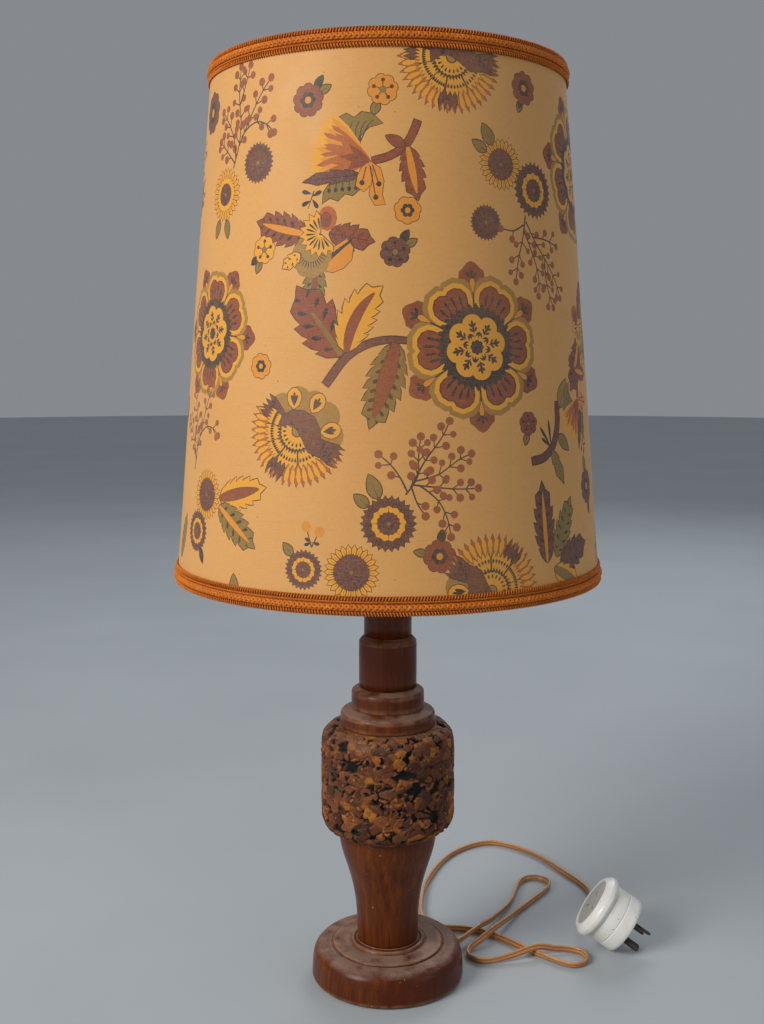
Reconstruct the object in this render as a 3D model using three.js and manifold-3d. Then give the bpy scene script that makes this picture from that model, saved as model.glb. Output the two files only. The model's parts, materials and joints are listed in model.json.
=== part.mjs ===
// Table lamp: turned wooden stand with a cork barrel, switched bayonet lampholder, bulb,
// tapered drum shade on a wire frame, and a flat twin flex ending in a three-pin plug.
// Millimetres, +Z up. The origin is the middle of the base's underside, on the table.
import * as THREE from 'three';
import { mergeVertices } from 'three/addons/utils/BufferGeometryUtils.js';
import Module from 'manifold-3d';

const wasm = await Module();
wasm.setup();

// ---------------------------------------------------------------- driving dimensions
const GAP = 0.3;

const ROD_R = 5.0;
const ROD_BORE_R = 3.8;
const ROD_BOTTOM_Z = 15.5;
const ROD_TOP_Z = 361;
const WOOD_BORE_R = ROD_R + GAP;

const FELT_T = 1.2;
const FELT_R = 57.2;
const RECESS_R = 16;
const RECESS_TOP_Z = 21.5;
const BASE_R = 59.2;
const BASE_EDGE_Z = 25.2;
const STEP_R = 43;
const FOOT_Z = 30.4;

const CORK_Z0 = 119.5;
const CORK_Z1 = 202.5;
const CORK_R = 51.5;
const COLLAR_LOWER_R = 36.3;
const COLLAR_LOWER_TOP_Z = 215.8;
const COLLAR_UPPER_R = 27.8;
const COLLAR_UPPER_TOP_Z = 232;
const UPPER_COLUMN_R = 22;
const UPPER_COLUMN_TOP_Z = 271.5;
const NECK_R = 18.1;
const NECK_TOP_Z = 352;

const HOLDER_Z = NECK_TOP_Z + 1.5;
const SEAT_Z = HOLDER_Z + 26.5;
const SKIRT_TOP_Z = HOLDER_Z + 58.5;
const SKIRT_BORE_R = 11.6;
const PIN_Z = HOLDER_Z + 50.5;
const BULB_BASE_Z = HOLDER_Z + 41.5;
const BULB_CAP_R = 11;
const BULB_R = 30;
const BULB_CENTRE_Z = BULB_BASE_Z + 75;
const PLUNGER_X = 4.8;
const SWITCH_Z = HOLDER_Z + 13;
const SWITCH_TRAVEL = 5;
const BAYONET_TURN = THREE.MathUtils.degToRad(18);

const SHADE_Z0 = 319.6;
const SHADE_Z1 = 683.7;
const SHADE_R0 = 157.0;
const SHADE_R1 = 125.6;
const SKIN_T = 1.0;
const BRAID_H = 13.2;
const BRAID_T = 2.2;
const WIRE_R = 1.6;
const ARM_R = 1.6;
const FITTER_R = 21;
const FITTER_T = 1.6;
const ARM_ANGLES = [90, 210, 330];

const CORD_D = 5.3;
const EXIT_ANGLE = THREE.MathUtils.degToRad(32);
const EXIT_Z = 6.5;

const FLANGE_R = 26.5;
const FLANGE_T = 9.6;
const PLUG_R = 23.5;
const PLUG_L = 34.5;
const PLUG_GROOVE = 2;
const CORD_ENTRY_Z = 5.2;
const CORD_ENTRY_ANGLE = THREE.MathUtils.degToRad(35);
const PIN_L = 17;
const PIN_W = 6.4;
const PIN_T = 1.7;

// Facets round a full turn.
const SHADE_FACETS = 60;
const WOOD_FACETS = 40;
const FACETS = 28;
const SMALL_FACETS = 20;

// ---------------------------------------------------------------- materials
const finish = (color, roughness, metalness) =>
  () => new THREE.MeshStandardMaterial({ color, roughness, metalness });
const wood = finish(0x5a2a12, 0.35, 0);
const cork = finish(0x8a5226, 0.9, 0);
const felt = finish(0x2f3a2c, 0.95, 0);
const steel = finish(0x8d9096, 0.4, 1);
const brass = finish(0xb58a3c, 0.35, 1);
const bakelite = finish(0x2a1a12, 0.4, 0);
const paintedWire = finish(0xe6e0d2, 0.5, 0);
const fabric = finish(0xdcaa6a, 0.85, 0);
const trim = finish(0xc86e28, 0.8, 0);
const flex = finish(0xa86a2c, 0.35, 0);
const whitePlastic = finish(0xe4e0d8, 0.35, 0);
const glass = finish(0xf4f1ea, 0.2, 0);
const blade = finish(0x4a4038, 0.45, 1);

// ---------------------------------------------------------------- shape helpers
const v2 = (r, z) => new THREE.Vector2(r, z);

// A ring or solid of revolution about +Z. A profile off the axis is closed on itself.
// Its points run anticlockwise with the radius to the right and height upward.
function turned(profile, segments = FACETS) {
  const points = profile.map(([r, z]) => v2(r, z));
  const first = points[0];
  const last = points[points.length - 1];
  const onAxis = first.x === 0 && last.x === 0;
  if (!onAxis) points.push(first.clone());
  const geometry = new THREE.LatheGeometry(points, segments);
  geometry.rotateX(Math.PI / 2);
  return geometry;
}

// Points on a quarter-ellipse corner, from angle a0 to a1 in degrees.
function corner(r, z, radiusR, radiusZ, a0, a1, steps = 4) {
  const points = [];
  for (let i = 0; i <= steps; i += 1) {
    const a = THREE.MathUtils.degToRad(a0 + ((a1 - a0) * i) / steps);
    points.push([r + radiusR * Math.cos(a), z + radiusZ * Math.sin(a)]);
  }
  return points;
}

const washer = (inner, outer, z0, z1, segments = FACETS) =>
  turned([[inner, z0], [outer, z0], [outer, z1], [inner, z1]], segments);

function circle(radius, sides) {
  const shape = new THREE.Shape();
  for (let i = 0; i < sides; i += 1) {
    const a = (2 * Math.PI * (i + 0.5)) / sides;
    const x = radius * Math.cos(a);
    const y = radius * Math.sin(a);
    if (i === 0) shape.moveTo(x, y);
    else shape.lineTo(x, y);
  }
  shape.closePath();
  return shape;
}

const tube = (curve, radius, steps, sides = 8) =>
  new THREE.ExtrudeGeometry(circle(radius, sides), { steps, extrudePath: curve, bevelEnabled: false });

const rod = (from, to, radius, sides = 10) =>
  tube(new THREE.LineCurve3(new THREE.Vector3(...from), new THREE.Vector3(...to)), radius, 1, sides);

function block(width, depth, height, x = 0, y = 0, z = 0) {
  const geometry = new THREE.BoxGeometry(width, depth, height);
  geometry.translate(x, y, z);
  return geometry;
}

function toSolid(geometry) {
  const bare = geometry.clone();
  bare.deleteAttribute('normal');
  bare.deleteAttribute('uv');
  const merged = mergeVertices(bare, 1e-4);
  const mesh = new wasm.Mesh({
    numProp: 3,
    vertProperties: new Float32Array(merged.attributes.position.array),
    triVerts: new Uint32Array(merged.index.array),
  });
  mesh.merge();
  return new wasm.Manifold(mesh);
}

function fromSolid(solid) {
  const mesh = solid.getMesh();
  const geometry = new THREE.BufferGeometry();
  geometry.setAttribute('position', new THREE.BufferAttribute(new Float32Array(mesh.vertProperties), 3));
  geometry.setIndex(Array.from(mesh.triVerts));
  geometry.computeVertexNormals();
  return geometry;
}

function cut(body, ...tools) {
  let solid = toSolid(body);
  for (const tool of tools) solid = solid.subtract(toSolid(tool));
  return fromSolid(solid);
}

function join(...pieces) {
  let solid = toSolid(pieces[0]);
  for (const piece of pieces.slice(1)) solid = solid.add(toSolid(piece));
  return fromSolid(solid);
}

const lamp = new THREE.Group();

function add(name, geometry, material, parent = lamp) {
  const mesh = new THREE.Mesh(geometry, material());
  mesh.name = name;
  parent.add(mesh);
  return mesh;
}

// ---------------------------------------------------------------- wooden stand
function radial(distance, z) {
  return [distance * Math.cos(EXIT_ANGLE), distance * Math.sin(EXIT_ANGLE), z];
}

function baseDisc() {
  const profile = [
    [RECESS_R, FELT_T],
    [BASE_R - 0.8, FELT_T],
    [BASE_R - 0.1, FELT_T + 0.9],
    [BASE_R, 4.5],
    [BASE_R - 0.4, 12],
    ...corner(BASE_R - 6.2, 18.4, 5.4, BASE_EDGE_Z - 18.4, 0, 82, 5),
    [STEP_R + 1.4, BASE_EDGE_Z + 0.5],
    [STEP_R + 0.6, BASE_EDGE_Z],
    [STEP_R, BASE_EDGE_Z + 0.1],
    [STEP_R - 0.2, BASE_EDGE_Z + 1.3],
    [STEP_R - 1.2, BASE_EDGE_Z + 1.9],
    [31, BASE_EDGE_Z + 2.3],
    [29.6, BASE_EDGE_Z + 1.9],
    [28.8, BASE_EDGE_Z + 2.3],
    ...corner(27, BASE_EDGE_Z + 3.0, 1.5, 1.7, 10, 150, 3),
    [25.3, BASE_EDGE_Z + 3.1],
    [24.8, FOOT_Z],
    [WOOD_BORE_R, FOOT_Z],
    [WOOD_BORE_R, RECESS_TOP_Z],
    [RECESS_R, RECESS_TOP_Z],
  ];
  const hole = rod(radial(RECESS_R - 4, EXIT_Z), radial(BASE_R + 4, EXIT_Z), 3.9, 20);
  const spotface = rod(radial(57.4, EXIT_Z), radial(BASE_R + 4, EXIT_Z), 5.1, 24);
  return cut(turned(profile, WOOD_FACETS), hole, spotface);
}

function cordBush() {
  const sleeve = rod(radial(44, EXIT_Z), radial(57.9, EXIT_Z), 3.6, 20);
  const flange = rod(radial(57.7, EXIT_Z), radial(59.2, EXIT_Z), 4.8, 24);
  const bore = rod(radial(40, EXIT_Z), radial(63, EXIT_Z), 2.9, 16);
  return cut(join(sleeve, flange), bore);
}

function lowerColumn() {
  const flare = new THREE.SplineCurve([
    v2(23.9, FOOT_Z),
    v2(23.8, 40),
    v2(24.3, 53),
    v2(26.4, 71),
    v2(31.3, 89.5),
    v2(35.9, 104),
    v2(37.5, 113),
    v2(37.3, CORK_Z0),
  ]);
  const side = flare.getPoints(12).map((p) => [p.x, p.y]);
  return turned([[WOOD_BORE_R, FOOT_Z], ...side, [WOOD_BORE_R, CORK_Z0]], WOOD_FACETS);
}

function corkBarrel() {
  return turned([
    [WOOD_BORE_R, CORK_Z0],
    ...corner(CORK_R - 10, CORK_Z0 + 11.5, 10, 11.5, -90, 0),
    ...corner(CORK_R - 11, CORK_Z1 - 12.5, 11, 12.5, 0, 90),
    [WOOD_BORE_R, CORK_Z1],
  ], WOOD_FACETS);
}

function lowerCollar() {
  return turned([
    [WOOD_BORE_R, CORK_Z1],
    [COLLAR_LOWER_R - 0.5, CORK_Z1],
    [COLLAR_LOWER_R, CORK_Z1 + 1],
    ...corner(COLLAR_LOWER_R - 1.5, 211, 1.5, 1.6, 0, 65, 3),
    [COLLAR_UPPER_R + 0.4, COLLAR_LOWER_TOP_Z],
    [WOOD_BORE_R, COLLAR_LOWER_TOP_Z],
  ], WOOD_FACETS);
}

function upperCollar() {
  return turned([
    [WOOD_BORE_R, COLLAR_LOWER_TOP_Z],
    [COLLAR_UPPER_R - 0.3, COLLAR_LOWER_TOP_Z],
    [COLLAR_UPPER_R, COLLAR_LOWER_TOP_Z + 0.8],
    ...corner(COLLAR_UPPER_R - 1.3, 228, 1.3, 1.4, 0, 65, 3),
    [UPPER_COLUMN_R + 0.4, COLLAR_UPPER_TOP_Z],
    [WOOD_BORE_R, COLLAR_UPPER_TOP_Z],
  ], WOOD_FACETS);
}

function upperColumn() {
  return turned([
    [WOOD_BORE_R, COLLAR_UPPER_TOP_Z],
    [UPPER_COLUMN_R, COLLAR_UPPER_TOP_Z],
    ...corner(UPPER_COLUMN_R - 1.2, 267, 1.2, 1.3, 0, 55, 3),
    [NECK_R + 0.3, UPPER_COLUMN_TOP_Z],
    [WOOD_BORE_R, UPPER_COLUMN_TOP_Z],
  ], WOOD_FACETS);
}

function neck() {
  return turned([
    [WOOD_BORE_R, UPPER_COLUMN_TOP_Z],
    [NECK_R, UPPER_COLUMN_TOP_Z],
    ...corner(NECK_R - 2, NECK_TOP_Z - 2, 2, 2, 0, 90, 3),
    [WOOD_BORE_R, NECK_TOP_Z],
  ], FACETS);
}

function hexNut(z0, z1, acrossCorners) {
  return cut(turned([[0, z0], [acrossCorners, z0], [acrossCorners, z1], [0, z1]], 6),
    turned([[0, z0 - 1], [WOOD_BORE_R, z0 - 1], [WOOD_BORE_R, z1 + 1], [0, z1 + 1]], SMALL_FACETS));
}

// The felt closes the recess under the base.
add('felt_pad', turned([[0, 0], [FELT_R, 0], [FELT_R, FELT_T], [0, FELT_T]], WOOD_FACETS), felt);
add('base_disc', baseDisc(), wood);
add('cord_bush', cordBush(), bakelite);
add('lower_column', lowerColumn(), wood);
add('cork_barrel', corkBarrel(), cork);
add('lower_collar', lowerCollar(), wood);
add('upper_collar', upperCollar(), wood);
add('upper_column', upperColumn(), wood);
add('neck', neck(), wood);
add('threaded_tube', washer(ROD_BORE_R, ROD_R, ROD_BOTTOM_Z, ROD_TOP_Z), steel);
add('bottom_washer', washer(WOOD_BORE_R, 14, RECESS_TOP_Z - 1.5, RECESS_TOP_Z), steel);
add('bottom_nut', hexNut(ROD_BOTTOM_Z + 0.5, RECESS_TOP_Z - 1.5, 9.5), steel);
add('top_washer', washer(WOOD_BORE_R, 13, NECK_TOP_Z, HOLDER_Z), brass);

// The flex inside the stand: in through the bush, round the recess and up the tube.
function innerFlex() {
  const turn = 9;
  const path = new THREE.CurvePath();
  const at = (distance, z) => new THREE.Vector3(...radial(distance, z));
  path.add(new THREE.LineCurve3(at(43, EXIT_Z), at(turn, EXIT_Z)));
  path.add(new THREE.QuadraticBezierCurve3(at(turn, EXIT_Z), at(0, EXIT_Z), at(0, EXIT_Z + turn)));
  path.add(new THREE.LineCurve3(at(0, EXIT_Z + turn), at(0, ROD_TOP_Z - 3)));
  return tube(path, 2.4, 36, 8);
}
add('inner_flex', innerFlex(), flex);

// ---------------------------------------------------------------- lampholder
function holderCap() {
  return turned([
    [ROD_R + GAP, HOLDER_Z],
    [8.5, HOLDER_Z],
    [8.5, HOLDER_Z + 4.5],
    ...corner(8.5, HOLDER_Z + 11, 6.3, 6.5, -80, -5, 4),
    [14.8, HOLDER_Z + 19.5],
    [13.8, HOLDER_Z + 19.5],
    [13.8, HOLDER_Z + 11.5],
    ...corner(8.2, HOLDER_Z + 11.2, 5.4, 5.5, -5, -80, 3),
    [ROD_R + GAP, HOLDER_Z + 5.4],
  ]);
}

function holderCapWithSwitchHole() {
  const hole = rod([-20, 0, SWITCH_Z], [20, 0, SWITCH_Z], 2.6, 20);
  return cut(holderCap(), hole);
}

function holderInsert() {
  const body = turned([
    [0, HOLDER_Z + 20],
    [11.2, HOLDER_Z + 20],
    [11.2, HOLDER_Z + 34],
    [0, HOLDER_Z + 34],
  ]);
  const wells = [-PLUNGER_X, PLUNGER_X].map((x) =>
    rod([x, 0, HOLDER_Z + 22], [x, 0, HOLDER_Z + 36], 2.7, 20));
  return cut(body, ...wells);
}

function holderSkirt() {
  const z = HOLDER_Z + 20;
  const shell = turned([
    [SKIRT_BORE_R, z],
    [14.6, z],
    [14.6, z + 4],
    [18, z + 5],
    [18, SEAT_Z],
    [14, SEAT_Z],
    [14, SEAT_Z + 14],
    [13.2, SEAT_Z + 15],
    [12.8, SKIRT_TOP_Z - 1.2],
    [13.3, SKIRT_TOP_Z - 0.6],
    [13.1, SKIRT_TOP_Z],
    [SKIRT_BORE_R, SKIRT_TOP_Z],
  ], 36);
  const slots = [];
  for (const side of [0, Math.PI]) {
    const way = block(6, 3.2, SKIRT_TOP_Z - PIN_Z + 6, 13, 0, (SKIRT_TOP_Z + PIN_Z) / 2);
    way.rotateZ(side + BAYONET_TURN);
    slots.push(way);
    for (const share of [0, 0.34, 0.67, 1]) {
      const pocket = block(6, 3.2, 5.6, 13, 0, PIN_Z - 0.9);
      pocket.rotateZ(side + BAYONET_TURN * share);
      slots.push(pocket);
    }
  }
  return cut(shell, ...slots);
}

function plungers() {
  return [-PLUNGER_X, PLUNGER_X].map((x) => {
    const pin = turned([
      [0, HOLDER_Z + 29],
      [2.3, HOLDER_Z + 29],
      [2.3, HOLDER_Z + 34],
      [1.9, HOLDER_Z + 34.6],
      [1.9, BULB_BASE_Z - 2.6],
      [1.2, BULB_BASE_Z - 1.7],
      [0, BULB_BASE_Z - 1.7],
    ], SMALL_FACETS);
    pin.translate(x, 0, 0);
    return pin;
  });
}

class Helix extends THREE.Curve {
  constructor(x, z0, z1, radius, turns) {
    super();
    Object.assign(this, { x, z0, z1, radius, turns });
  }

  getPoint(t, target = new THREE.Vector3()) {
    const a = 2 * Math.PI * this.turns * t;
    const z = this.z0 + (this.z1 - this.z0) * t;
    return target.set(this.x + this.radius * Math.cos(a), this.radius * Math.sin(a), z);
  }
}

const plungerSprings = () => [-PLUNGER_X, PLUNGER_X].map((x) =>
  tube(new Helix(x, HOLDER_Z + 22.6, HOLDER_Z + 28.4, 1.8, 3.5), 0.3, 36, 5));

function terminalScrews() {
  return [-PLUNGER_X, PLUNGER_X].map((x) => {
    const screw = turned([
      [0, HOLDER_Z + 15.6],
      [1.9, HOLDER_Z + 15.6],
      [1.9, HOLDER_Z + 17.2],
      [1.2, HOLDER_Z + 17.4],
      [1.2, HOLDER_Z + 19.6],
      [0, HOLDER_Z + 19.6],
    ], 16);
    screw.translate(x, 4.5, 0);
    return screw;
  });
}

// The bar stands out on the left when the lamp is off, by its travel more than on the right.
function switchBar() {
  const along = (x0, x1, radius, sides) => rod([x0, 0, SWITCH_Z], [x1, 0, SWITCH_Z], radius, sides);
  const bar = along(-21 - SWITCH_TRAVEL, 17, 2.1, 16);
  const left = along(-23 - SWITCH_TRAVEL, -15.8 - SWITCH_TRAVEL, 3.6, SMALL_FACETS);
  const right = along(15.8, 23, 3.6, SMALL_FACETS);
  return join(bar, left, right);
}

function shadeRing() {
  const z = SEAT_Z + FITTER_T + 0.6;
  const body = turned([
    [14 + GAP, z],
    [19, z],
    [19.6, z + 0.8],
    [19.6, z + 5],
    [18.8, z + 6],
    [15.2, z + 6.6],
    [14 + GAP, z + 6.6],
  ], 36);
  const grips = [];
  for (let i = 0; i < 12; i += 1) {
    const a = (2 * Math.PI * i) / 12;
    const x = 20.3 * Math.cos(a);
    const y = 20.3 * Math.sin(a);
    grips.push(rod([x, y, z - 1], [x, y, z + 8], 1.4, 10));
  }
  return cut(body, ...grips);
}

// Each piece of a matching set is its own mesh, numbered from 1.
function addSet(name, pieces, material, parent = lamp) {
  pieces.forEach((piece, i) => add(`${name}_${i + 1}`, piece, material, parent));
}

add('holder_cap', holderCapWithSwitchHole(), brass);
add('holder_insert', holderInsert(), bakelite);
add('holder_skirt', holderSkirt(), brass);
addSet('contact_plunger', plungers(), brass);
addSet('plunger_spring', plungerSprings(), steel);
addSet('terminal_screw', terminalScrews(), brass);
add('switch_bar', switchBar(), bakelite);
add('shade_ring', shadeRing(), bakelite);

// ---------------------------------------------------------------- bulb
function bulbGlass() {
  const wall = 0.9;
  const side = (inset) => {
    const swell = new THREE.CubicBezierCurve(
      v2(13.6 - inset, BULB_BASE_Z + 37),
      v2(17.9 - inset, BULB_BASE_Z + 50),
      v2(BULB_R - inset, BULB_CENTRE_Z - 17),
      v2(BULB_R - inset, BULB_CENTRE_Z),
    );
    const dome = corner(0, BULB_CENTRE_Z, BULB_R - inset, BULB_R - inset, 0, 90, 6);
    return [
      [10.4 - inset, BULB_BASE_Z + 21],
      [11 - inset, BULB_BASE_Z + 27],
      ...swell.getPoints(6).map((p) => [p.x, p.y]),
      ...dome.slice(1, -1),
      [0, BULB_CENTRE_Z + BULB_R - inset],
    ];
  };
  return turned([...side(wall).reverse(), ...side(0)], 24);
}

function bulbCap() {
  const shell = turned([
    [9.2, BULB_BASE_Z + 0.6],
    [10.2, BULB_BASE_Z + 0.6],
    [BULB_CAP_R, BULB_BASE_Z + 1.6],
    [BULB_CAP_R, BULB_BASE_Z + 22],
    [12, BULB_BASE_Z + 24.6],
    [11.4, BULB_BASE_Z + 25],
    [10.9, BULB_BASE_Z + 22.6],
    [10.6, BULB_BASE_Z + 20.5],
    [10.2, BULB_BASE_Z + 2.4],
    [9.2, BULB_BASE_Z + 2],
  ]);
  const pin = (side) => rod([side * 10.5, 0, PIN_Z], [side * 13.4, 0, PIN_Z], 1.1, 14);
  return join(shell, pin(-1), pin(1));
}

const bulbInsulator = () => turned([
  [0, BULB_BASE_Z],
  [8.9, BULB_BASE_Z],
  [8.9, BULB_BASE_Z + 2.6],
  [0, BULB_BASE_Z + 2.6],
]);

function bulbContacts() {
  return [-PLUNGER_X, PLUNGER_X].map((x) => {
    const pad = turned([
      [0, BULB_BASE_Z - 1.4],
      [2.2, BULB_BASE_Z - 1.2],
      [2.9, BULB_BASE_Z],
      [0, BULB_BASE_Z],
    ], 20);
    pad.translate(x, 0, 0);
    return pad;
  });
}

function filamentMount() {
  const stem = turned([
    [0, BULB_BASE_Z + 21],
    [9.2, BULB_BASE_Z + 21],
    [8.2, BULB_BASE_Z + 22.5],
    [3, BULB_BASE_Z + 30],
    [2.6, BULB_BASE_Z + 50],
    [3, BULB_BASE_Z + 52],
    [0, BULB_BASE_Z + 54],
  ], 20);
  const top = BULB_BASE_Z + 80;
  const support = (x) => rod([x * 0.12, 0, BULB_BASE_Z + 51], [x, 0, top], 0.4, 6);
  const coil = rod([-14.4, 0, top], [14.4, 0, top], 0.6, 6);
  return join(stem, support(-14), support(14), coil);
}

add('bulb_glass', bulbGlass(), glass);
add('bulb_cap', bulbCap(), brass);
add('bulb_insulator', bulbInsulator(), bakelite);
addSet('bulb_contact', bulbContacts(), steel);
add('filament_mount', filamentMount(), glass);

// ---------------------------------------------------------------- shade
const shadeRadius = (z) => SHADE_R0 + ((SHADE_R1 - SHADE_R0) * (z - SHADE_Z0)) / (SHADE_Z1 - SHADE_Z0);

// A band of the shade's cone between two heights, from one offset to another off its outer face.
function coneBand(z0, z1, inner, outer) {
  return turned([
    [shadeRadius(z0) + inner, z0],
    [shadeRadius(z0) + outer, z0],
    [shadeRadius(z1) + outer, z1],
    [shadeRadius(z1) + inner, z1],
  ], SHADE_FACETS);
}

function wireRing(z) {
  const r = shadeRadius(z) - SKIN_T - WIRE_R - GAP;
  return turned(corner(r, z, WIRE_R, WIRE_R, 0, 300, 5), SHADE_FACETS);
}

function fitterArm(angle) {
  const a = THREE.MathUtils.degToRad(angle);
  const at = (r, z) => new THREE.Vector3(r * Math.cos(a), r * Math.sin(a), z);
  const wireZ = SHADE_Z0 + 4;
  const wireInside = shadeRadius(wireZ) - SKIN_T - 2 * WIRE_R - GAP;
  const path = new THREE.CatmullRomCurve3([
    at(FITTER_R + 0.4, SEAT_Z + FITTER_T / 2 + 0.2),
    at(34, SEAT_Z - 1),
    at(90, SEAT_Z - 28),
    at(wireInside - 14, wireZ + 2.5),
    at(wireInside - GAP, wireZ),
  ]);
  return tube(path, ARM_R, 12, 8);
}

add('shade_skin', coneBand(SHADE_Z0 + 0.6, SHADE_Z1 - 0.6, -SKIN_T, 0), fabric);
add('braid_bottom', coneBand(SHADE_Z0, SHADE_Z0 + BRAID_H, 0.1, BRAID_T), trim);
add('braid_top', coneBand(SHADE_Z1 - BRAID_H, SHADE_Z1, 0.1, BRAID_T), trim);
add('shade_wire_bottom', wireRing(SHADE_Z0 + 4), paintedWire);
add('shade_wire_top', wireRing(SHADE_Z1 - 4), paintedWire);
add('fitter_ring', washer(14 + GAP, FITTER_R, SEAT_Z + GAP, SEAT_Z + GAP + FITTER_T, 36), paintedWire);
addSet('fitter_arm', ARM_ANGLES.map(fitterArm), paintedWire);

// ---------------------------------------------------------------- cord
// The flex as it lies on the table: out of the back of the base, one long hairpin to the
// right, a short one towards the plug, round behind the base and over to the plug's side.
const FLOOR = 2.8;
const OVER = 8.6;
const CORD_POINTS = [
  [50.5, 31.5, 6.5],
  [57.5, 36.1, 6.9],
  [76, 58, OVER],
  [88.5, 78, 5.4],
  [107, 114, 3.1],
  [122.7, 160.2, FLOOR],
  [130.8, 166.6, FLOOR],
  [140.7, 165.4, FLOOR],
  [147, 157.4, FLOOR],
  [145.6, 147.5, 2.9],
  [113, 98, 3.3],
  [88, 54, OVER],
  [76, 41, 5.4],
  [67.1, 31.6, 3.2],
  [65.3, 21.8, FLOOR],
  [70.9, 13.6, FLOOR],
  [80.7, 10.8, 3.1],
  [99, 15.5, 5.2],
  [121, 23.5, OVER],
  [134.5, 28, 5.2],
  [147, 30.2, 3.2],
  [156.2, 26.8, FLOOR],
  [160, 17.8, FLOOR],
  [156.2, 8.6, FLOOR],
  [147, 4.8, FLOOR],
  [121, 23.5, FLOOR],
  [88, 54, FLOOR],
  [66, 65, FLOOR],
  [45, 69, FLOOR],
  [31, 84, FLOOR],
  [29.5, 118, FLOOR],
  [40, 171, FLOOR],
  [65, 224, FLOOR],
  [101, 247, FLOOR],
  [138.5, 223, 2.9],
  [164, 178, 2.9],
  [180, 141, 3],
  [176.5, 100, 8],
  [165.1, 73.5, 17.8],
  [166.9, 63.6, 23.1],
];

const cordCurve = new THREE.CatmullRomCurve3(
  CORD_POINTS.map((p) => new THREE.Vector3(...p)), false, 'centripetal');
add('cord', tube(cordCurve, CORD_D / 2, 80, 8), flex);

// ---------------------------------------------------------------- plug
// Built with its back at its own origin and its pins along +Z, then laid on the table.
const plug = new THREE.Group();
const PLUG_BACK = new THREE.Vector3(166.9, 43.2, 37.7);
const PLUG_HEADING = THREE.MathUtils.degToRad(-9.8);
const PLUG_DIP = THREE.MathUtils.degToRad(33.6);

function plugFlange() {
  const body = turned([
    [0, 1.1],
    [19.6, 1.1],
    [20.4, 0.4],
    [21.4, 0],
    [22.4, 0.4],
    [FLANGE_R - 0.8, 3.6],
    [FLANGE_R, 4.8],
    [FLANGE_R, FLANGE_T - 1.6],
    [FLANGE_R - 1.6, FLANGE_T],
    [0, FLANGE_T],
  ], WOOD_FACETS);
  const slots = [[0, 1], [1, 0.6], [-1, 0.6]].map(([side, tall]) => {
    const slot = block(1.8, 5.6, 1.6, 0, 0, 1.1);
    slot.rotateZ(-side * 0.52);
    slot.translate(side * 7, tall > 0.8 ? -9 : 6, 0);
    return slot;
  });
  const entry = rod([0, 14, CORD_ENTRY_Z], [0, 40, CORD_ENTRY_Z], 3, 16);
  entry.rotateZ(-CORD_ENTRY_ANGLE);
  return cut(body, ...slots, entry);
}

function plugBody() {
  const z0 = FLANGE_T + GAP;
  const groove = FLANGE_T + PLUG_GROOVE;
  const body = turned([
    [0, z0],
    [PLUG_R - 1.6, z0],
    [PLUG_R - 1.6, groove],
    [PLUG_R - 0.5, groove + 0.6],
    [PLUG_R - 0.3, 22],
    [PLUG_R - 0.9, 22.3],
    [PLUG_R - 0.9, 22.9],
    [PLUG_R - 0.2, 23.2],
    [PLUG_R, PLUG_L - 2.4],
    [PLUG_R - 0.7, PLUG_L - 0.9],
    [PLUG_R - 2.4, PLUG_L],
    [0, PLUG_L],
  ], WOOD_FACETS);
  return body;
}

// The earth pin is on the side where the cord comes in, and the live pins lean towards each other.
const PIN_PLACES = [
  ['plug_pin_active', -7.9, -4.6, -30],
  ['plug_pin_neutral', 7.9, -4.6, 30],
  ['plug_pin_earth', 0, 10.3, 0],
];

function pinBlade([, x, y, lean]) {
  const shape = new THREE.Shape();
  const half = PIN_W / 2;
  shape.moveTo(-half, 0);
  shape.lineTo(half, 0);
  shape.lineTo(half, PIN_L - 1.2);
  shape.lineTo(half - 1.2, PIN_L);
  shape.lineTo(-half + 1.2, PIN_L);
  shape.lineTo(-half, PIN_L - 1.2);
  shape.closePath();
  const geometry = new THREE.ExtrudeGeometry(shape, { depth: PIN_T, bevelEnabled: false });
  geometry.translate(0, 0, -PIN_T / 2);
  geometry.rotateX(Math.PI / 2);
  geometry.rotateZ(Math.PI / 2 + THREE.MathUtils.degToRad(lean));
  geometry.translate(x, y, PLUG_L + 0.1);
  return geometry;
}

function plugScrews() {
  return [[-14, 9], [14, 9]].map(([x, y]) => {
    const head = cut(turned([
      [0, PLUG_L + 0.1],
      [3, PLUG_L + 0.1],
      [2.6, PLUG_L + 1.1],
      [0, PLUG_L + 1.3],
    ], 24), block(7, 0.9, 0.9, 0, 0, PLUG_L + 1.2));
    head.translate(x, y, 0);
    return head;
  });
}

add('plug_flange', plugFlange(), whitePlastic, plug);
add('plug_body', plugBody(), whitePlastic, plug);
for (const place of PIN_PLACES) add(place[0], pinBlade(place), blade, plug);
addSet('plug_screw', plugScrews(), brass, plug);

const plugAxis = new THREE.Vector3(
  Math.cos(PLUG_HEADING) * Math.cos(PLUG_DIP),
  Math.sin(PLUG_HEADING) * Math.cos(PLUG_DIP),
  -Math.sin(PLUG_DIP),
);
const plugSide = new THREE.Vector3(-Math.sin(PLUG_HEADING), Math.cos(PLUG_HEADING), 0);
const plugAcross = new THREE.Vector3().crossVectors(plugSide, plugAxis);
plug.quaternion.setFromRotationMatrix(new THREE.Matrix4().makeBasis(plugAcross, plugSide, plugAxis));
plug.position.copy(PLUG_BACK);
lamp.add(plug);

export default lamp;
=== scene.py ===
"""Looks of the table lamp: turned wooden stand with a cork barrel, printed drum shade, flat flex and plug."""

import json
import math

import bmesh
import bpy
import numpy as np
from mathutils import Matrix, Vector, noise
from mathutils.geometry import delaunay_2d_cdt
from mathutils.kdtree import KDTree

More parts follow.
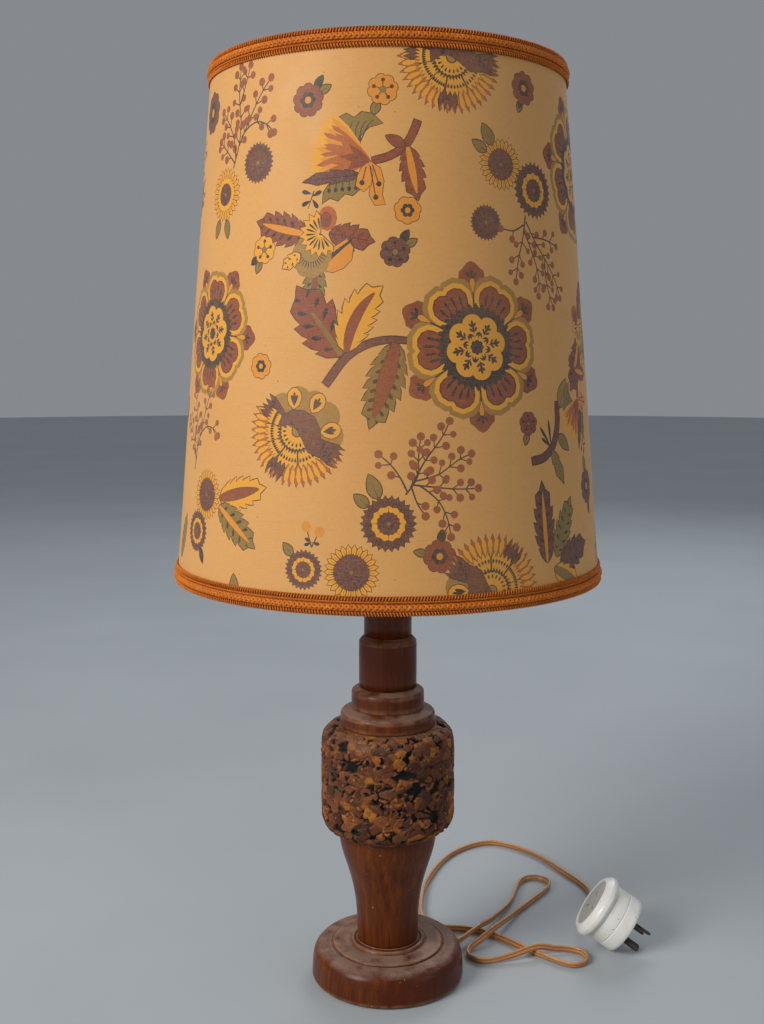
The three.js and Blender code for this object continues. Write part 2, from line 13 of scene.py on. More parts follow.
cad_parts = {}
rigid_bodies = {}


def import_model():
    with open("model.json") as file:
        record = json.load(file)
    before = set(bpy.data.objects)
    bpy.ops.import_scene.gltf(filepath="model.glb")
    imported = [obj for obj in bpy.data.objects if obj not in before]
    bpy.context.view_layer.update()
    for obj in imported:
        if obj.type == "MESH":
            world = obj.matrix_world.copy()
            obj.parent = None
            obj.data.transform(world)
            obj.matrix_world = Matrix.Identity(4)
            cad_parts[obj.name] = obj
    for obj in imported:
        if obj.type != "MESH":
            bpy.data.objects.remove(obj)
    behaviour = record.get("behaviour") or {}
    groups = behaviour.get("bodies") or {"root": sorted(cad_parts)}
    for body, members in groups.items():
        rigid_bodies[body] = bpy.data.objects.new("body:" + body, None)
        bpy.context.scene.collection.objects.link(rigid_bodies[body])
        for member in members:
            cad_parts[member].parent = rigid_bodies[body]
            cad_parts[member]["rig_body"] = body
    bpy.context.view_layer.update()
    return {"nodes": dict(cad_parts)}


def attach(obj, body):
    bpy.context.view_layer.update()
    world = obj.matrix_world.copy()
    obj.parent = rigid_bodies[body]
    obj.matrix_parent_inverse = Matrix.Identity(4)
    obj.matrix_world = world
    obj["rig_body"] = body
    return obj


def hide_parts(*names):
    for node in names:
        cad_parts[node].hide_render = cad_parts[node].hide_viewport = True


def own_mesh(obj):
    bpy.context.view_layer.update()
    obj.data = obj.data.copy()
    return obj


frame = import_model()
MM = 0.001
TURN = 2 * math.pi


def linked(name, data):
    """A new object in the scene."""
    made = bpy.data.objects.new(name, data)
    bpy.context.scene.collection.objects.link(made)
    return made


def way(angle, reach, x=0.0, y=0.0):
    """The point at a distance from x, y, in a direction given in radians."""
    return x + reach * math.cos(angle), y + reach * math.sin(angle)


# ---------------------------------------------------------------- camera and light
CAMERA_PLACE = (0.00265, -0.900, 0.4826)
CAMERA_LENS = 42.46
CAMERA_DIP = 7.403
CAMERA_TURN = 0.452
SKY_COLOUR = (0.60, 0.64, 0.68, 1)
SKY_STRENGTH = 0.40


def make_camera():
    camera = linked("camera", bpy.data.cameras.new("camera"))
    camera.data.lens = CAMERA_LENS
    camera.data.sensor_width = 36
    camera.data.clip_start = 0.01
    camera.location = CAMERA_PLACE
    camera.rotation_euler = (math.radians(90 - CAMERA_DIP), 0, math.radians(CAMERA_TURN))
    bpy.context.scene.camera = camera


def area_light(name, place, target, size, watts, colour):
    light = bpy.data.lights.new(name, "AREA")
    light.shape = "DISK"
    light.size = size
    light.energy = watts
    light.color = colour
    lamp = linked(name, light)
    lamp.location = place
    lamp.rotation_euler = (Vector(target) - Vector(place)).to_track_quat("-Z", "Y").to_euler()


def make_studio():
    area_light("key", (-1.7, -1.35, 1.5), (0, 0, 0.38), 1.2, 45, (1.0, 0.985, 0.96))
    area_light("fill", (1.9, -1.1, 0.9), (0, 0, 0.35), 1.6, 5, (0.95, 0.97, 1.0))
    area_light("rear", (0.6, 2.0, 1.8), (0, 0, 0.4), 1.4, 14, (0.95, 0.97, 1.0))
    world = bpy.data.worlds.new("studio")
    bpy.context.scene.world = world
    world.use_nodes = True
    background = world.node_tree.nodes["Background"].inputs
    background["Color"].default_value = SKY_COLOUR
    background["Strength"].default_value = SKY_STRENGTH
    bpy.context.scene.view_settings.view_transform = "Standard"


# ---------------------------------------------------------------- materials
def srgb(r, g, b):
    """A colour given as on a screen, 0 to 255, as the shader wants it."""
    steps = [c / 255 for c in (r, g, b)]
    return tuple(c / 12.92 if c <= 0.04045 else ((c + 0.055) / 1.055) ** 2.4 for c in steps) + (1.0,)


class Finish:
    """A Principled material that is being put together. Lengths in its patterns are in metres."""

    def __init__(self, name, **sockets):
        self.material = bpy.data.materials.new(name)
        self.material.use_nodes = True
        self.nodes = self.material.node_tree.nodes
        self.links = self.material.node_tree.links
        self.shader = self.nodes["Principled BSDF"]
        for socket, value in sockets.items():
            self.shader.inputs[socket.replace("_", " ")].default_value = value
        self.place = self.node("ShaderNodeTexCoord").outputs["Object"]

    def node(self, kind, **settings):
        made = self.nodes.new(kind)
        for key, value in settings.items():
            setattr(made, key, value)
        return made

    def feed(self, socket, value):
        if isinstance(value, bpy.types.NodeSocket):
            self.links.new(value, socket)
        else:
            socket.default_value = value

    def stretched(self, vector, scale):
        made = self.node("ShaderNodeMapping")
        self.feed(made.inputs["Vector"], vector)
        made.inputs["Scale"].default_value = scale
        return made.outputs["Vector"]

    def noise(self, scale, detail=3.0, rough=0.55, vector=None, stretch=None):
        vector = vector or self.place
        if stretch:
            vector = self.stretched(vector, stretch)
        made = self.node("ShaderNodeTexNoise")
        self.feed(made.inputs["Vector"], vector)
        made.inputs["Scale"].default_value = scale
        made.inputs["Detail"].default_value = detail
        made.inputs["Roughness"].default_value = rough
        return made.outputs["Fac"]

    def cell_walls(self, scale):
        """The distance to the nearest wall of a pattern of cells."""
        made = self.node("ShaderNodeTexVoronoi", feature="DISTANCE_TO_EDGE")
        self.feed(made.inputs["Vector"], self.place)
        made.inputs["Scale"].default_value = scale
        return made.outputs["Distance"]

    def attribute(self, name, output="Fac"):
        return self.node("ShaderNodeAttribute", attribute_name=name).outputs[output]

    def upward(self):
        split = self.node("ShaderNodeSeparateXYZ")
        self.feed(split.inputs[0], self.node("ShaderNodeNewGeometry").outputs["Normal"])
        return split.outputs["Z"]

    def ramp(self, value, *stops):
        made = self.node("ShaderNodeValToRGB")
        self.feed(made.inputs["Fac"], value)
        elements = made.color_ramp.elements
        while len(elements) < len(stops):
            elements.new(0.5)
        for element, (at, colour) in zip(elements, stops):
            element.position = at
            element.color = colour if hasattr(colour, "__len__") else (colour,) * 3 + (1,)
        return made.outputs["Color"]

    def mix(self, share, a, b, blend="MIX"):
        made = self.node("ShaderNodeMix", data_type="RGBA", blend_type=blend)
        self.feed(made.inputs["Factor"], share)
        for socket, value in ((made.inputs[6], a), (made.inputs[7], b)):
            if isinstance(value, (int, float)):
                value = (value,) * 3 + (1,)
            self.feed(socket, value)
        return made.outputs[2]

    def maths(self, operation, a, b=0.0, c=None, clamp=False):
        made = self.node("ShaderNodeMath", operation=operation, use_clamp=clamp)
        self.feed(made.inputs[0], a)
        self.feed(made.inputs[1], b)
        if c is not None:
            self.feed(made.inputs[2], c)
        return made.outputs[0]

    def between(self, value, low, high):
        """0 below low, 1 above high."""
        made = self.node("ShaderNodeMapRange")
        self.feed(made.inputs["Value"], value)
        made.inputs["From Min"].default_value = low
        made.inputs["From Max"].default_value = high
        return made.outputs["Result"]

    def times(self, a, b):
        return self.maths("MULTIPLY", a, b)

    def patches(self, low, high, *scale, **more):
        """A mask from noise: 0 where it is below low, 1 where it is above high."""
        return self.between(self.noise(*scale, **more), low, high)

    def over(self, below, paint, mask, share=None):
        """A colour laid over another, where the mask says."""
        return self.mix(mask if share is None else self.times(mask, share), below, paint)

    def finish(self, colour=None, roughness=None, height=None, depth=0.0002):
        """Joins the patterns to the shader; depth is the relief's height in metres."""
        if colour is not None:
            self.feed(self.shader.inputs["Base Color"], colour)
        if roughness is not None:
            self.feed(self.shader.inputs["Roughness"], roughness)
        if height is not None:
            bump = self.node("ShaderNodeBump")
            bump.inputs["Strength"].default_value = 1.0
            bump.inputs["Distance"].default_value = depth
            self.feed(bump.inputs["Height"], height)
            self.links.new(bump.outputs["Normal"], self.shader.inputs["Normal"])
        return self.material


def wood_finish():
    f = Finish("lacquered_wood", Coat_Weight=0.14, Coat_Roughness=0.26, Specular_IOR_Level=0.14)
    grain = f.noise(210, 6, 0.6, stretch=(1, 1, 0.07))
    pores = f.noise(1500, 3, 0.6, stretch=(1, 1, 0.03))
    patches = f.noise(14, 3, 0.5)
    colour = f.ramp(grain, (0.30, srgb(76, 33, 7)), (0.52, srgb(99, 45, 11)), (0.72, srgb(120, 60, 18)))
    colour = f.over(colour, srgb(80, 30, 8), f.between(patches, 0.42, 0.68))
    colour = f.over(colour, srgb(46, 17, 6), f.between(pores, 0.60, 0.72))
    dust = f.times(f.between(f.upward(), 0.55, 0.95), f.patches(0.34, 0.56, 55, 5, 0.6))
    dust = f.times(dust, 0.80)
    colour = f.over(colour, srgb(150, 122, 106), dust)
    wear = f.times(f.attribute("edge"), f.patches(0.30, 0.62, 120, 4, 0.6))
    colour = f.over(colour, srgb(176, 134, 104), wear, 0.34)
    nicks = f.patches(0.745, 0.77, 420, 2, 0.4, stretch=(1, 1, 0.5))
    colour = f.over(colour, srgb(186, 150, 118), nicks, 0.8)
    smear = f.noise(75, 4, 0.6)
    rough = f.maths("MULTIPLY_ADD", smear, 0.30, 0.20)
    rough = f.maths("ADD", rough, f.times(dust, 0.6), clamp=True)
    height = f.maths("MULTIPLY_ADD", grain, 0.35, f.times(pores, 0.2))
    height = f.maths("SUBTRACT", height, f.times(nicks, 0.8))
    return f.finish(colour, rough, height, 0.00025)


def cork_finish():
    f = Finish("varnished_cork", Coat_Weight=0.10, Coat_Roughness=0.38, Specular_IOR_Level=0.25)
    tone = f.attribute("tone", "Color")
    specks = f.noise(700, 4, 0.7)
    colour = f.mix(f.between(specks, 0.35, 0.7), f.mix(0.45, tone, srgb(40, 18, 8)), tone)
    veins = f.cell_walls(900)
    colour = f.mix(f.between(veins, 0.0, 0.16), f.mix(0.5, tone, srgb(30, 14, 8)), colour)
    fleck = f.patches(0.62, 0.70, 260, 2, 0.5)
    colour = f.over(colour, srgb(206, 128, 48), fleck, 0.55)
    dust = f.times(f.between(f.upward(), 0.25, 0.85), f.patches(0.3, 0.65, 90, 4, 0.6))
    colour = f.over(colour, srgb(150, 118, 98), dust, 0.5)
    # Painted shade: near-black in the pits and cracks, darker the deeper they go.
    colour = f.over(colour, srgb(9, 6, 5), f.attribute("pit_shade"))
    rough = f.ramp(specks, (0.3, 0.48), (0.7, 0.78))
    height = f.maths("ADD", f.times(specks, 0.8), f.noise(1900, 2, 0.6))
    return f.finish(colour, rough, height, 0.0003)


def fabric_finish():
    f = Finish("printed_cotton", Sheen_Weight=0.12, Sheen_Roughness=0.5, Specular_IOR_Level=0.35)
    cloth = f.node("ShaderNodeUVMap", uv_map="cloth").outputs["UV"]
    paint = f.attribute("print", "Color")
    threads = f.noise(1.0, 2, 0.5, cloth, (220, 1700, 1))
    picks = f.noise(1.0, 2, 0.5, cloth, (1700, 260, 1))
    slubs = f.patches(0.56, 0.74, 1.0, 3, 0.55, cloth, (34, 620, 1))
    weave = f.maths("ADD", threads, picks)
    colour = f.over(paint, srgb(250, 214, 150), f.between(weave, 0.8, 1.25), 0.10)
    colour = f.over(colour, srgb(196, 128, 66), slubs, 0.16)
    ageing = f.noise(1.0, 4, 0.55, cloth, (9, 7, 1))
    colour = f.over(colour, srgb(206, 138, 82), f.between(ageing, 0.42, 0.72), 0.22)
    blotch = f.patches(0.62, 0.80, 1.0, 5, 0.6, cloth, (26, 40, 1))
    colour = f.over(colour, srgb(176, 116, 66), blotch, 0.20)
    fly = f.patches(0.80, 0.83, 1.0, 1, 0.3, cloth, (310, 310, 1))
    colour = f.over(colour, srgb(112, 72, 44), fly, 0.55)
    rub = f.patches(0.60, 0.78, 1.0, 3, 0.7, cloth, (520, 520, 1))
    colour = f.over(colour, srgb(238, 196, 138), rub, 0.10)
    rough = f.ramp(f.noise(1.0, 3, 0.5, cloth, (30, 30, 1)), (0.3, 0.50), (0.7, 0.66))
    return f.finish(colour, rough, f.maths("MULTIPLY_ADD", slubs, 0.8, weave), 0.00007)


def lining_finish():
    f = Finish("shade_lining", Specular_IOR_Level=0.4)
    stain = f.noise(24, 4, 0.6)
    colour = f.ramp(stain, (0.3, srgb(238, 222, 184)), (0.7, srgb(220, 192, 140)))
    colour = f.over(colour, srgb(168, 128, 84), f.patches(0.70, 0.76, 420, 2, 0.4))
    return f.finish(colour, f.ramp(stain, (0.3, 0.35), (0.7, 0.5)), f.noise(600, 3, 0.5), 0.00005)


def braid_finish():
    f = Finish("gimp_braid", Specular_IOR_Level=0.3)
    yarn = f.noise(1500, 3, 0.6)
    patch = f.noise(60, 4, 0.6)
    colour = f.ramp(yarn, (0.32, srgb(164, 76, 8)), (0.52, srgb(216, 116, 18)), (0.72, srgb(240, 156, 52)))
    colour = f.over(colour, srgb(180, 84, 26), f.between(patch, 0.4, 0.7), 0.45)
    colour = f.over(colour, srgb(240, 160, 84), f.patches(0.58, 0.72, 300, 3, 0.6), 0.4)
    # Painted shade: dark brown where the braid lies low, between and under its strands.
    colour = f.over(colour, srgb(88, 30, 4), f.attribute("groove_shade"))
    return f.finish(colour, f.ramp(yarn, (0.3, 0.42), (0.7, 0.66)), yarn, 0.00012)


def flex_finish():
    f = Finish("amber_flex", Subsurface_Weight=0.15, Subsurface_Radius=(0.004, 0.002, 0.001),
               Coat_Weight=0.3, Coat_Roughness=0.25)
    core = f.attribute("core")
    strands = f.noise(300, 3, 0.6)
    colour = f.mix(f.between(core, 0.35, 0.9), srgb(206, 150, 84), srgb(150, 78, 30))
    colour = f.over(colour, srgb(190, 104, 44), f.between(strands, 0.5, 0.75))
    grime = f.patches(0.42, 0.68, 38, 5, 0.6)
    colour = f.over(colour, srgb(168, 134, 98), grime, 0.5)
    return f.finish(colour, f.ramp(strands, (0.3, 0.28), (0.7, 0.46)), strands, 0.00008)


def plug_finish():
    f = Finish("cream_plastic", Coat_Weight=0.2, Coat_Roughness=0.2)
    grime = f.noise(70, 5, 0.65)
    colour = f.ramp(grime, (0.35, srgb(246, 244, 238)), (0.62, srgb(236, 231, 221)))
    colour = f.over(colour, srgb(142, 138, 134), f.attribute("grime"), 0.8)
    colour = f.over(colour, srgb(120, 110, 98), f.patches(0.70, 0.76, 500, 2, 0.4))
    marks = f.noise(240, 4, 0.7, stretch=(1, 1, 0.15))
    rough = f.ramp(grime, (0.3, 0.26), (0.7, 0.44))
    return f.finish(colour, rough, marks, 0.00004)


def metal_finish(name, dark, light, rough=(0.25, 0.5), spots=None):
    f = Finish(name, Metallic=1.0)
    tarnish = f.noise(130, 5, 0.65)
    colour = f.ramp(tarnish, (0.32, dark), (0.68, light))
    if spots:
        colour = f.mix(f.patches(0.56, 0.70, 420, 4, 0.7), colour, spots)
    brushed = f.noise(900, 2, 0.5, stretch=(1, 1, 0.1))
    return f.finish(colour, f.ramp(tarnish, (0.3, rough[0]), (0.7, rough[1])), brushed, 0.00003)


def bakelite_finish():
    f = Finish("bakelite", Coat_Weight=0.4, Coat_Roughness=0.15)
    swirl = f.noise(170, 5, 0.7, stretch=(1, 1, 0.4))
    colour = f.ramp(swirl, (0.3, srgb(28, 15, 9)), (0.55, srgb(48, 26, 15)), (0.75, srgb(80, 44, 24)))
    return f.finish(colour, f.ramp(swirl, (0.3, 0.22), (0.7, 0.40)), swirl, 0.00004)


def wire_finish():
    f = Finish("coated_wire")
    age = f.noise(160, 5, 0.65)
    colour = f.ramp(age, (0.3, srgb(232, 224, 204)), (0.62, srgb(208, 194, 164)))
    colour = f.over(colour, srgb(120, 70, 36), f.patches(0.64, 0.74, 330, 4, 0.7))
    return f.finish(colour, f.ramp(age, (0.3, 0.35), (0.7, 0.6)), age, 0.0001)


def felt_finish():
    f = Finish("felt", Sheen_Weight=0.5)
    fibre = f.noise(1500, 5, 0.8)
    colour = f.ramp(fibre, (0.3, srgb(34, 44, 32)), (0.7, srgb(66, 80, 58)))
    return f.finish(colour, f.ramp(fibre, (0.3, 0.85), (0.7, 1.0)), fibre, 0.0004)


def opal_finish():
    f = Finish("pearl_glass", Transmission_Weight=0.35, IOR=1.45, Coat_Weight=0.5, Coat_Roughness=0.06)
    frost = f.noise(900, 3, 0.6)
    colour = f.ramp(frost, (0.3, srgb(244, 242, 236)), (0.7, srgb(232, 228, 218)))
    return f.finish(colour, f.ramp(frost, (0.3, 0.30), (0.7, 0.42)), frost, 0.00002)


def floor_finish():
    f = Finish("floor")
    tone = f.noise(3, 4, 0.5)
    colour = f.ramp(tone, (0.3, srgb(176, 182, 186)), (0.7, srgb(184, 190, 194)))
    return f.finish(colour, f.ramp(tone, (0.3, 0.62), (0.7, 0.75)))


LOOKS = {
    "wood": wood_finish(),
    "cork": cork_finish(),
    "shade_fabric": fabric_finish(),
    "lining": lining_finish(),
    "braid": braid_finish(),
    "flex": flex_finish(),
    "plug_plastic": plug_finish(),
    "pin_metal": metal_finish("tarnished_pin", srgb(58, 50, 44), srgb(110, 98, 88), (0.35, 0.6),
                              srgb(70, 44, 30)),
    "brass": metal_finish("old_brass", srgb(128, 90, 40), srgb(198, 156, 82), (0.24, 0.5), srgb(92, 62, 34)),
    "steel": metal_finish("plated_steel", srgb(120, 118, 114), srgb(176, 174, 170), (0.28, 0.5),
                          srgb(96, 84, 72)),
    "bakelite": bakelite_finish(),
    "bush": bakelite_finish(),
    "frame_wire": wire_finish(),
    "felt": felt_finish(),
    "glass": opal_finish(),
}


# ---------------------------------------------------------------- mesh helpers
def new_piece(name, points, faces, look, body, node, recalc=False):
    """A new object from points in millimetres; node is the CAD node that it stands for."""
    mesh = bpy.data.meshes.new(name)
    mesh.from_pydata((np.asarray(points, float) * MM).tolist(), [], [list(map(int, f)) for f in faces])
    if recalc:
        outward(mesh)
    mesh.shade_smooth()
    return dressed(linked(name, mesh), look, body, node)


def dressed(piece, look, body, node):
    """Gives a piece its materials and its body, and hides the CAD node that it stands for."""
    looks = look if isinstance(look, tuple) else (look,)
    for one in looks:
        piece.data.materials.append(LOOKS[one])
    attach(piece, body)
    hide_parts(node)
    return piece


def outward(mesh):
    made = bmesh.new()
    made.from_mesh(mesh)
    bmesh.ops.recalc_face_normals(made, faces=made.faces)
    made.to_mesh(mesh)
    made.free()


def set_values(mesh, name, values):
    layer = mesh.attributes.new(name, "FLOAT", "POINT")
    layer.data.foreach_set("value", np.asarray(values, np.float32).ravel())


def set_colours(mesh, name, colours, domain="POINT"):
    layer = mesh.color_attributes.new(name, "FLOAT_COLOR", domain)
    layer.data.foreach_set("color", np.asarray(colours, np.float32).ravel())


def grid_faces(rows, cols, wrap_rows=False):
    """Quads over rows x cols points, numbered row by row. Each row closes on itself."""
    r = np.arange(rows if wrap_rows else rows - 1)
    r, c = (a.ravel() for a in np.meshgrid(r, np.arange(cols), indexing="ij"))
    r1, c1 = (r + 1) % rows, (c + 1) % cols
    return np.stack([r * cols + c, r * cols + c1, r1 * cols + c1, r1 * cols + c], 1)


TIGHT_CORNER = 1.7


def fillet(profile, steps=4):
    """Rounds the corners of a profile of (r, z) or (r, z, radius) points.

    Returns the points, and 1 for each that lies on a tight outward corner."""
    pts = [(p[0], p[1], p[2] if len(p) > 2 else 0.0) for p in profile]
    out, edge = [], []
    for i, (x, y, radius) in enumerate(pts):
        if radius <= 0 or i in (0, len(pts) - 1):
            out.append((x, y))
            edge.append(0.0)
            continue
        here = np.array((x, y))
        a = np.array(pts[i - 1][:2]) - here
        b = np.array(pts[i + 1][:2]) - here
        la, lb = np.linalg.norm(a), np.linalg.norm(b)
        a, b = a / la, b / lb
        reach = min(radius, la * 0.45, lb * 0.45)
        outer = (a[0] * b[1] - a[1] * b[0]) < 0
        for k in range(steps + 1):
            t = k / steps
            p = (1 - t) ** 2 * (here + a * reach) + 2 * t * (1 - t) * here + t * t * (here + b * reach)
            out.append(tuple(p))
            edge.append(1.0 if outer and radius < TIGHT_CORNER else 0.0)
    return out, edge


def lathe(name, profile, look, body, node, segments=144, marks=None, place=None):
    """A solid of revolution.

    The profile runs from bottom to top up the outside. Where it ends off the axis it closes on itself."""
    outline, edge = fillet(profile)
    if marks is not None:
        edge = marks(outline)
    on_axis = outline[0][0] == 0 and outline[-1][0] == 0
    ring = outline[1:-1] if on_axis else outline
    values = edge[1:-1] if on_axis else edge
    angles = np.arange(segments) * TURN / segments
    r = np.array([p[0] for p in ring])[:, None]
    z = np.array([p[1] for p in ring])[:, None]
    points = np.stack([r * np.cos(angles), r * np.sin(angles), z + 0 * angles], 2).reshape(-1, 3)
    faces = grid_faces(len(ring), segments, wrap_rows=not on_axis).tolist()
    values = np.repeat(values, segments)
    if on_axis:
        low, high = len(points), len(points) + 1
        points = np.vstack([points, [0, 0, outline[0][1]], [0, 0, outline[-1][1]]])
        last = (len(ring) - 1) * segments
        faces += [[low, (k + 1) % segments, k] for k in range(segments)]
        faces += [[high, last + k, last + (k + 1) % segments] for k in range(segments)]
        values = np.append(values, [0, 0])
    if place is not None:
        points = place(points)
    piece = new_piece(name, points, faces, look, body, node, recalc=True)
    set_values(piece.data, "edge", values)
    return piece


def sharpen(piece, degrees=38):
    """Smooth shading that stops at sharp edges."""
    made = bmesh.new()
    made.from_mesh(piece.data)
    limit = math.radians(degrees)
    for e in made.edges:
        e.smooth = len(e.link_faces) == 2 and e.calc_face_angle(0) < limit
    made.to_mesh(piece.data)
    made.free()


def cutter(points, faces):
    mesh = bpy.data.meshes.new("cutter")
    mesh.from_pydata((np.asarray(points) * MM).tolist(), [], faces)
    outward(mesh)
    return linked("cutter", mesh)


def prism(start, end, outline):
    """A cutter of the outline (x, y) swept from start to end, all in millimetres."""
    start, end = Vector(start), Vector(end)
    turn = (end - start).to_track_quat("Z", "Y")
    n = len(outline)
    points = [start + turn @ Vector((x, y, 0)) for x, y in outline]
    points += [p + (end - start) for p in points]
    faces = [[i, (i + 1) % n, n + (i + 1) % n, n + i] for i in range(n)]
    return cutter(points, faces + [list(range(n))[::-1], list(range(n, 2 * n))])


def round_outline(radius, sides=28):
    return [way(TURN * k / sides, radius) for k in range(sides)]


def carve(piece, *tools):
    for tool in tools:
        step = piece.modifiers.new("carve", "BOOLEAN")
        step.operation = "DIFFERENCE"
        step.solver = "EXACT"
        step.object = tool
    carved = bpy.data.meshes.new_from_object(piece.evaluated_get(bpy.context.evaluated_depsgraph_get()))
    carved.name = piece.name
    piece.modifiers.clear()
    old, piece.data = piece.data, carved
    bpy.data.meshes.remove(old)
    for tool in tools:
        bpy.data.objects.remove(tool)
    sharpen(piece)


def refined(node, look, bevel=0.25, degrees=40):
    """A copy of a small CAD part with welded, softened and smooth-shaded edges."""
    source = frame["nodes"][node]
    made = bmesh.new()
    made.from_mesh(source.data)
    bmesh.ops.remove_doubles(made, verts=made.verts, dist=1e-6)
    bmesh.ops.dissolve_limit(made, angle_limit=math.radians(1), verts=made.verts, edges=made.edges)
    bmesh.ops.recalc_face_normals(made, faces=made.faces)
    if bevel:
        limit = math.radians(degrees)
        edges = [e for e in made.edges if len(e.link_faces) == 2 and e.calc_face_angle(0) > limit]
        bmesh.ops.bevel(made, geom=edges, offset=bevel * MM, segments=2, profile=0.5, affect="EDGES",
                        clamp_overlap=True)
    mesh = bpy.data.meshes.new(node + "_fine")
    made.to_mesh(mesh)
    made.free()
    mesh.shade_smooth()
    piece = dressed(linked(node + "_fine", mesh), look, source["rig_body"], node)
    sharpen(piece, degrees)
    return piece


# ---------------------------------------------------------------- cord and plug
CORD_POINTS = [
    (50.5, 31.5, 6.5), (57.5, 36.1, 6.9), (76, 58, 8.6), (88.5, 78, 5.4), (107, 114, 3.1),
    (122.7, 160.2, 2.8), (130.8, 166.6, 2.8), (140.7, 165.4, 2.8), (147, 157.4, 2.8), (145.6, 147.5, 2.9),
    (113, 98, 3.3), (88, 54, 8.6), (76, 41, 5.4), (67.1, 31.6, 3.2), (65.3, 21.8, 2.8),
    (70.9, 13.6, 2.8), (80.7, 10.8, 3.1), (99, 15.5, 5.2), (121, 23.5, 8.6), (134.5, 28, 5.2),
    (147, 30.2, 3.2), (156.2, 26.8, 2.8), (160, 17.8, 2.8), (156.2, 8.6, 2.8), (147, 4.8, 2.8),
    (121, 23.5, 2.8), (88, 54, 2.8), (66, 65, 2.8), (45, 69, 2.8), (31, 84, 2.8),
    (29.5, 118, 2.8), (40, 171, 2.8), (65, 224, 2.8), (101, 247, 2.8), (138.5, 223, 2.9),
    (164, 178, 2.9), (180, 141, 3), (176.5, 100, 8), (165.1, 73.5, 17.8), (166.9, 63.6, 23.1),
]
FLEX_WIDTH = 5.3
FLEX_THICK = 2.9


def centripetal(points, steps):
    """A centripetal Catmull-Rom curve through the points, the same one as the CAD's."""
    p = [np.array(q, float) for q in points]
    p = [2 * p[0] - p[1]] + p + [2 * p[-1] - p[-2]]
    out = []
    for a, b, c, d in zip(p, p[1:], p[2:], p[3:]):
        ta, tb, tc = (max(np.linalg.norm(y - x), 1e-9) ** 0.5 for x, y in ((a, b), (b, c), (c, d)))
        m1 = ((b - a) / ta - (c - a) / (ta + tb) + (c - b) / tb) * tb
        m2 = ((c - b) / tb - (d - b) / (tb + tc) + (d - c) / tc) * tb
        for k in range(steps):
            t = k / steps
            out.append(b + m1 * t + (3 * (c - b) - 2 * m1 - m2) * t * t + (2 * (b - c) + m1 + m2) * t ** 3)
    out.append(p[-2])
    return np.array(out)


def even(line, step):
    along = np.concatenate([[0], np.cumsum(np.linalg.norm(np.diff(line, axis=0), axis=1))])
    at = np.linspace(0, along[-1], math.ceil(along[-1] / step) + 1)
    return np.stack([np.interp(at, along, line[:, k]) for k in range(3)], 1), at


def flex_section():
    """The outline of a flat twin flex: two round cores with a shallow valley between them."""
    out = []
    for k in range(28):
        a = TURN * k / 28
        wide = math.cos(a)
        valley = 1 - 0.26 * math.exp(-((wide / 0.24) ** 2))
        out.append((FLEX_WIDTH / 2 * wide,
                    FLEX_THICK / 2 * math.copysign(abs(math.sin(a)) ** 0.72, math.sin(a)) * valley))
    return np.array(out)


FLEX_STEP = 1.5
END_LENGTH = 30


def make_cord():
    """The flex along its path, twisting a little on its way, but not at its ends."""
    line, along = even(centripetal(CORD_POINTS, 24), FLEX_STEP)
    length = float(along[-1])
    tangent = np.gradient(line, axis=0)
    tangent /= np.linalg.norm(tangent, axis=1)[:, None]
    side = np.cross(tangent, (0, 0, 1))
    side /= np.linalg.norm(side, axis=1)[:, None]
    up = np.cross(side, tangent)
    lean = 0.30 * np.sin(along / 41) + 0.22 * np.sin(along / 17 + 1)
    ends = np.clip(np.minimum(along, length - along) / END_LENGTH, 0, 1)
    lean = (lean * ends)[:, None]
    wide = up * np.cos(lean) + side * np.sin(lean)
    thin = side * np.cos(lean) - up * np.sin(lean)
    section = flex_section()
    points = line[:, None] + section[None, :, :1] * wide[:, None] + section[None, :, 1:] * thin[:, None]
    count = len(section)
    faces = grid_faces(len(line), count).tolist()
    faces += [list(range(count))[::-1], [(len(line) - 1) * count + k for k in range(count)]]
    cord = new_piece("flex", points.reshape(-1, 3), faces, "flex", "stand", "cord", recalc=True)
    core = 1 - np.clip(np.abs(np.abs(section[:, 0]) - 1.3) / 1.3, 0, 1)
    set_values(cord.data, "core", np.tile(core, len(line)))
    return cord, line, length


PLUG_BACK = np.array((166.9, 43.2, 37.7))
PLUG_HEADING = math.radians(-9.8)
PLUG_DIP = math.radians(33.6)


def plug_axes():
    z = np.array((math.cos(PLUG_DIP) * math.cos(PLUG_HEADING), math.cos(PLUG_DIP) * math.sin(PLUG_HEADING),
                  -math.sin(PLUG_DIP)))
    y = np.array((-math.sin(PLUG_HEADING), math.cos(PLUG_HEADING), 0))
    return np.stack([np.cross(y, z), y, z])


def on_plug(points):
    return PLUG_BACK + np.asarray(points, float) @ plug_axes()


PLUG_SLOTS = ((0, -9, 0), (6.5, 6, -0.52), (-6.5, 6, 0.52))
SLOT_WIDTH = 1.8
SLOT_LENGTH = 5.6
FLEX_WAY = math.radians(35)


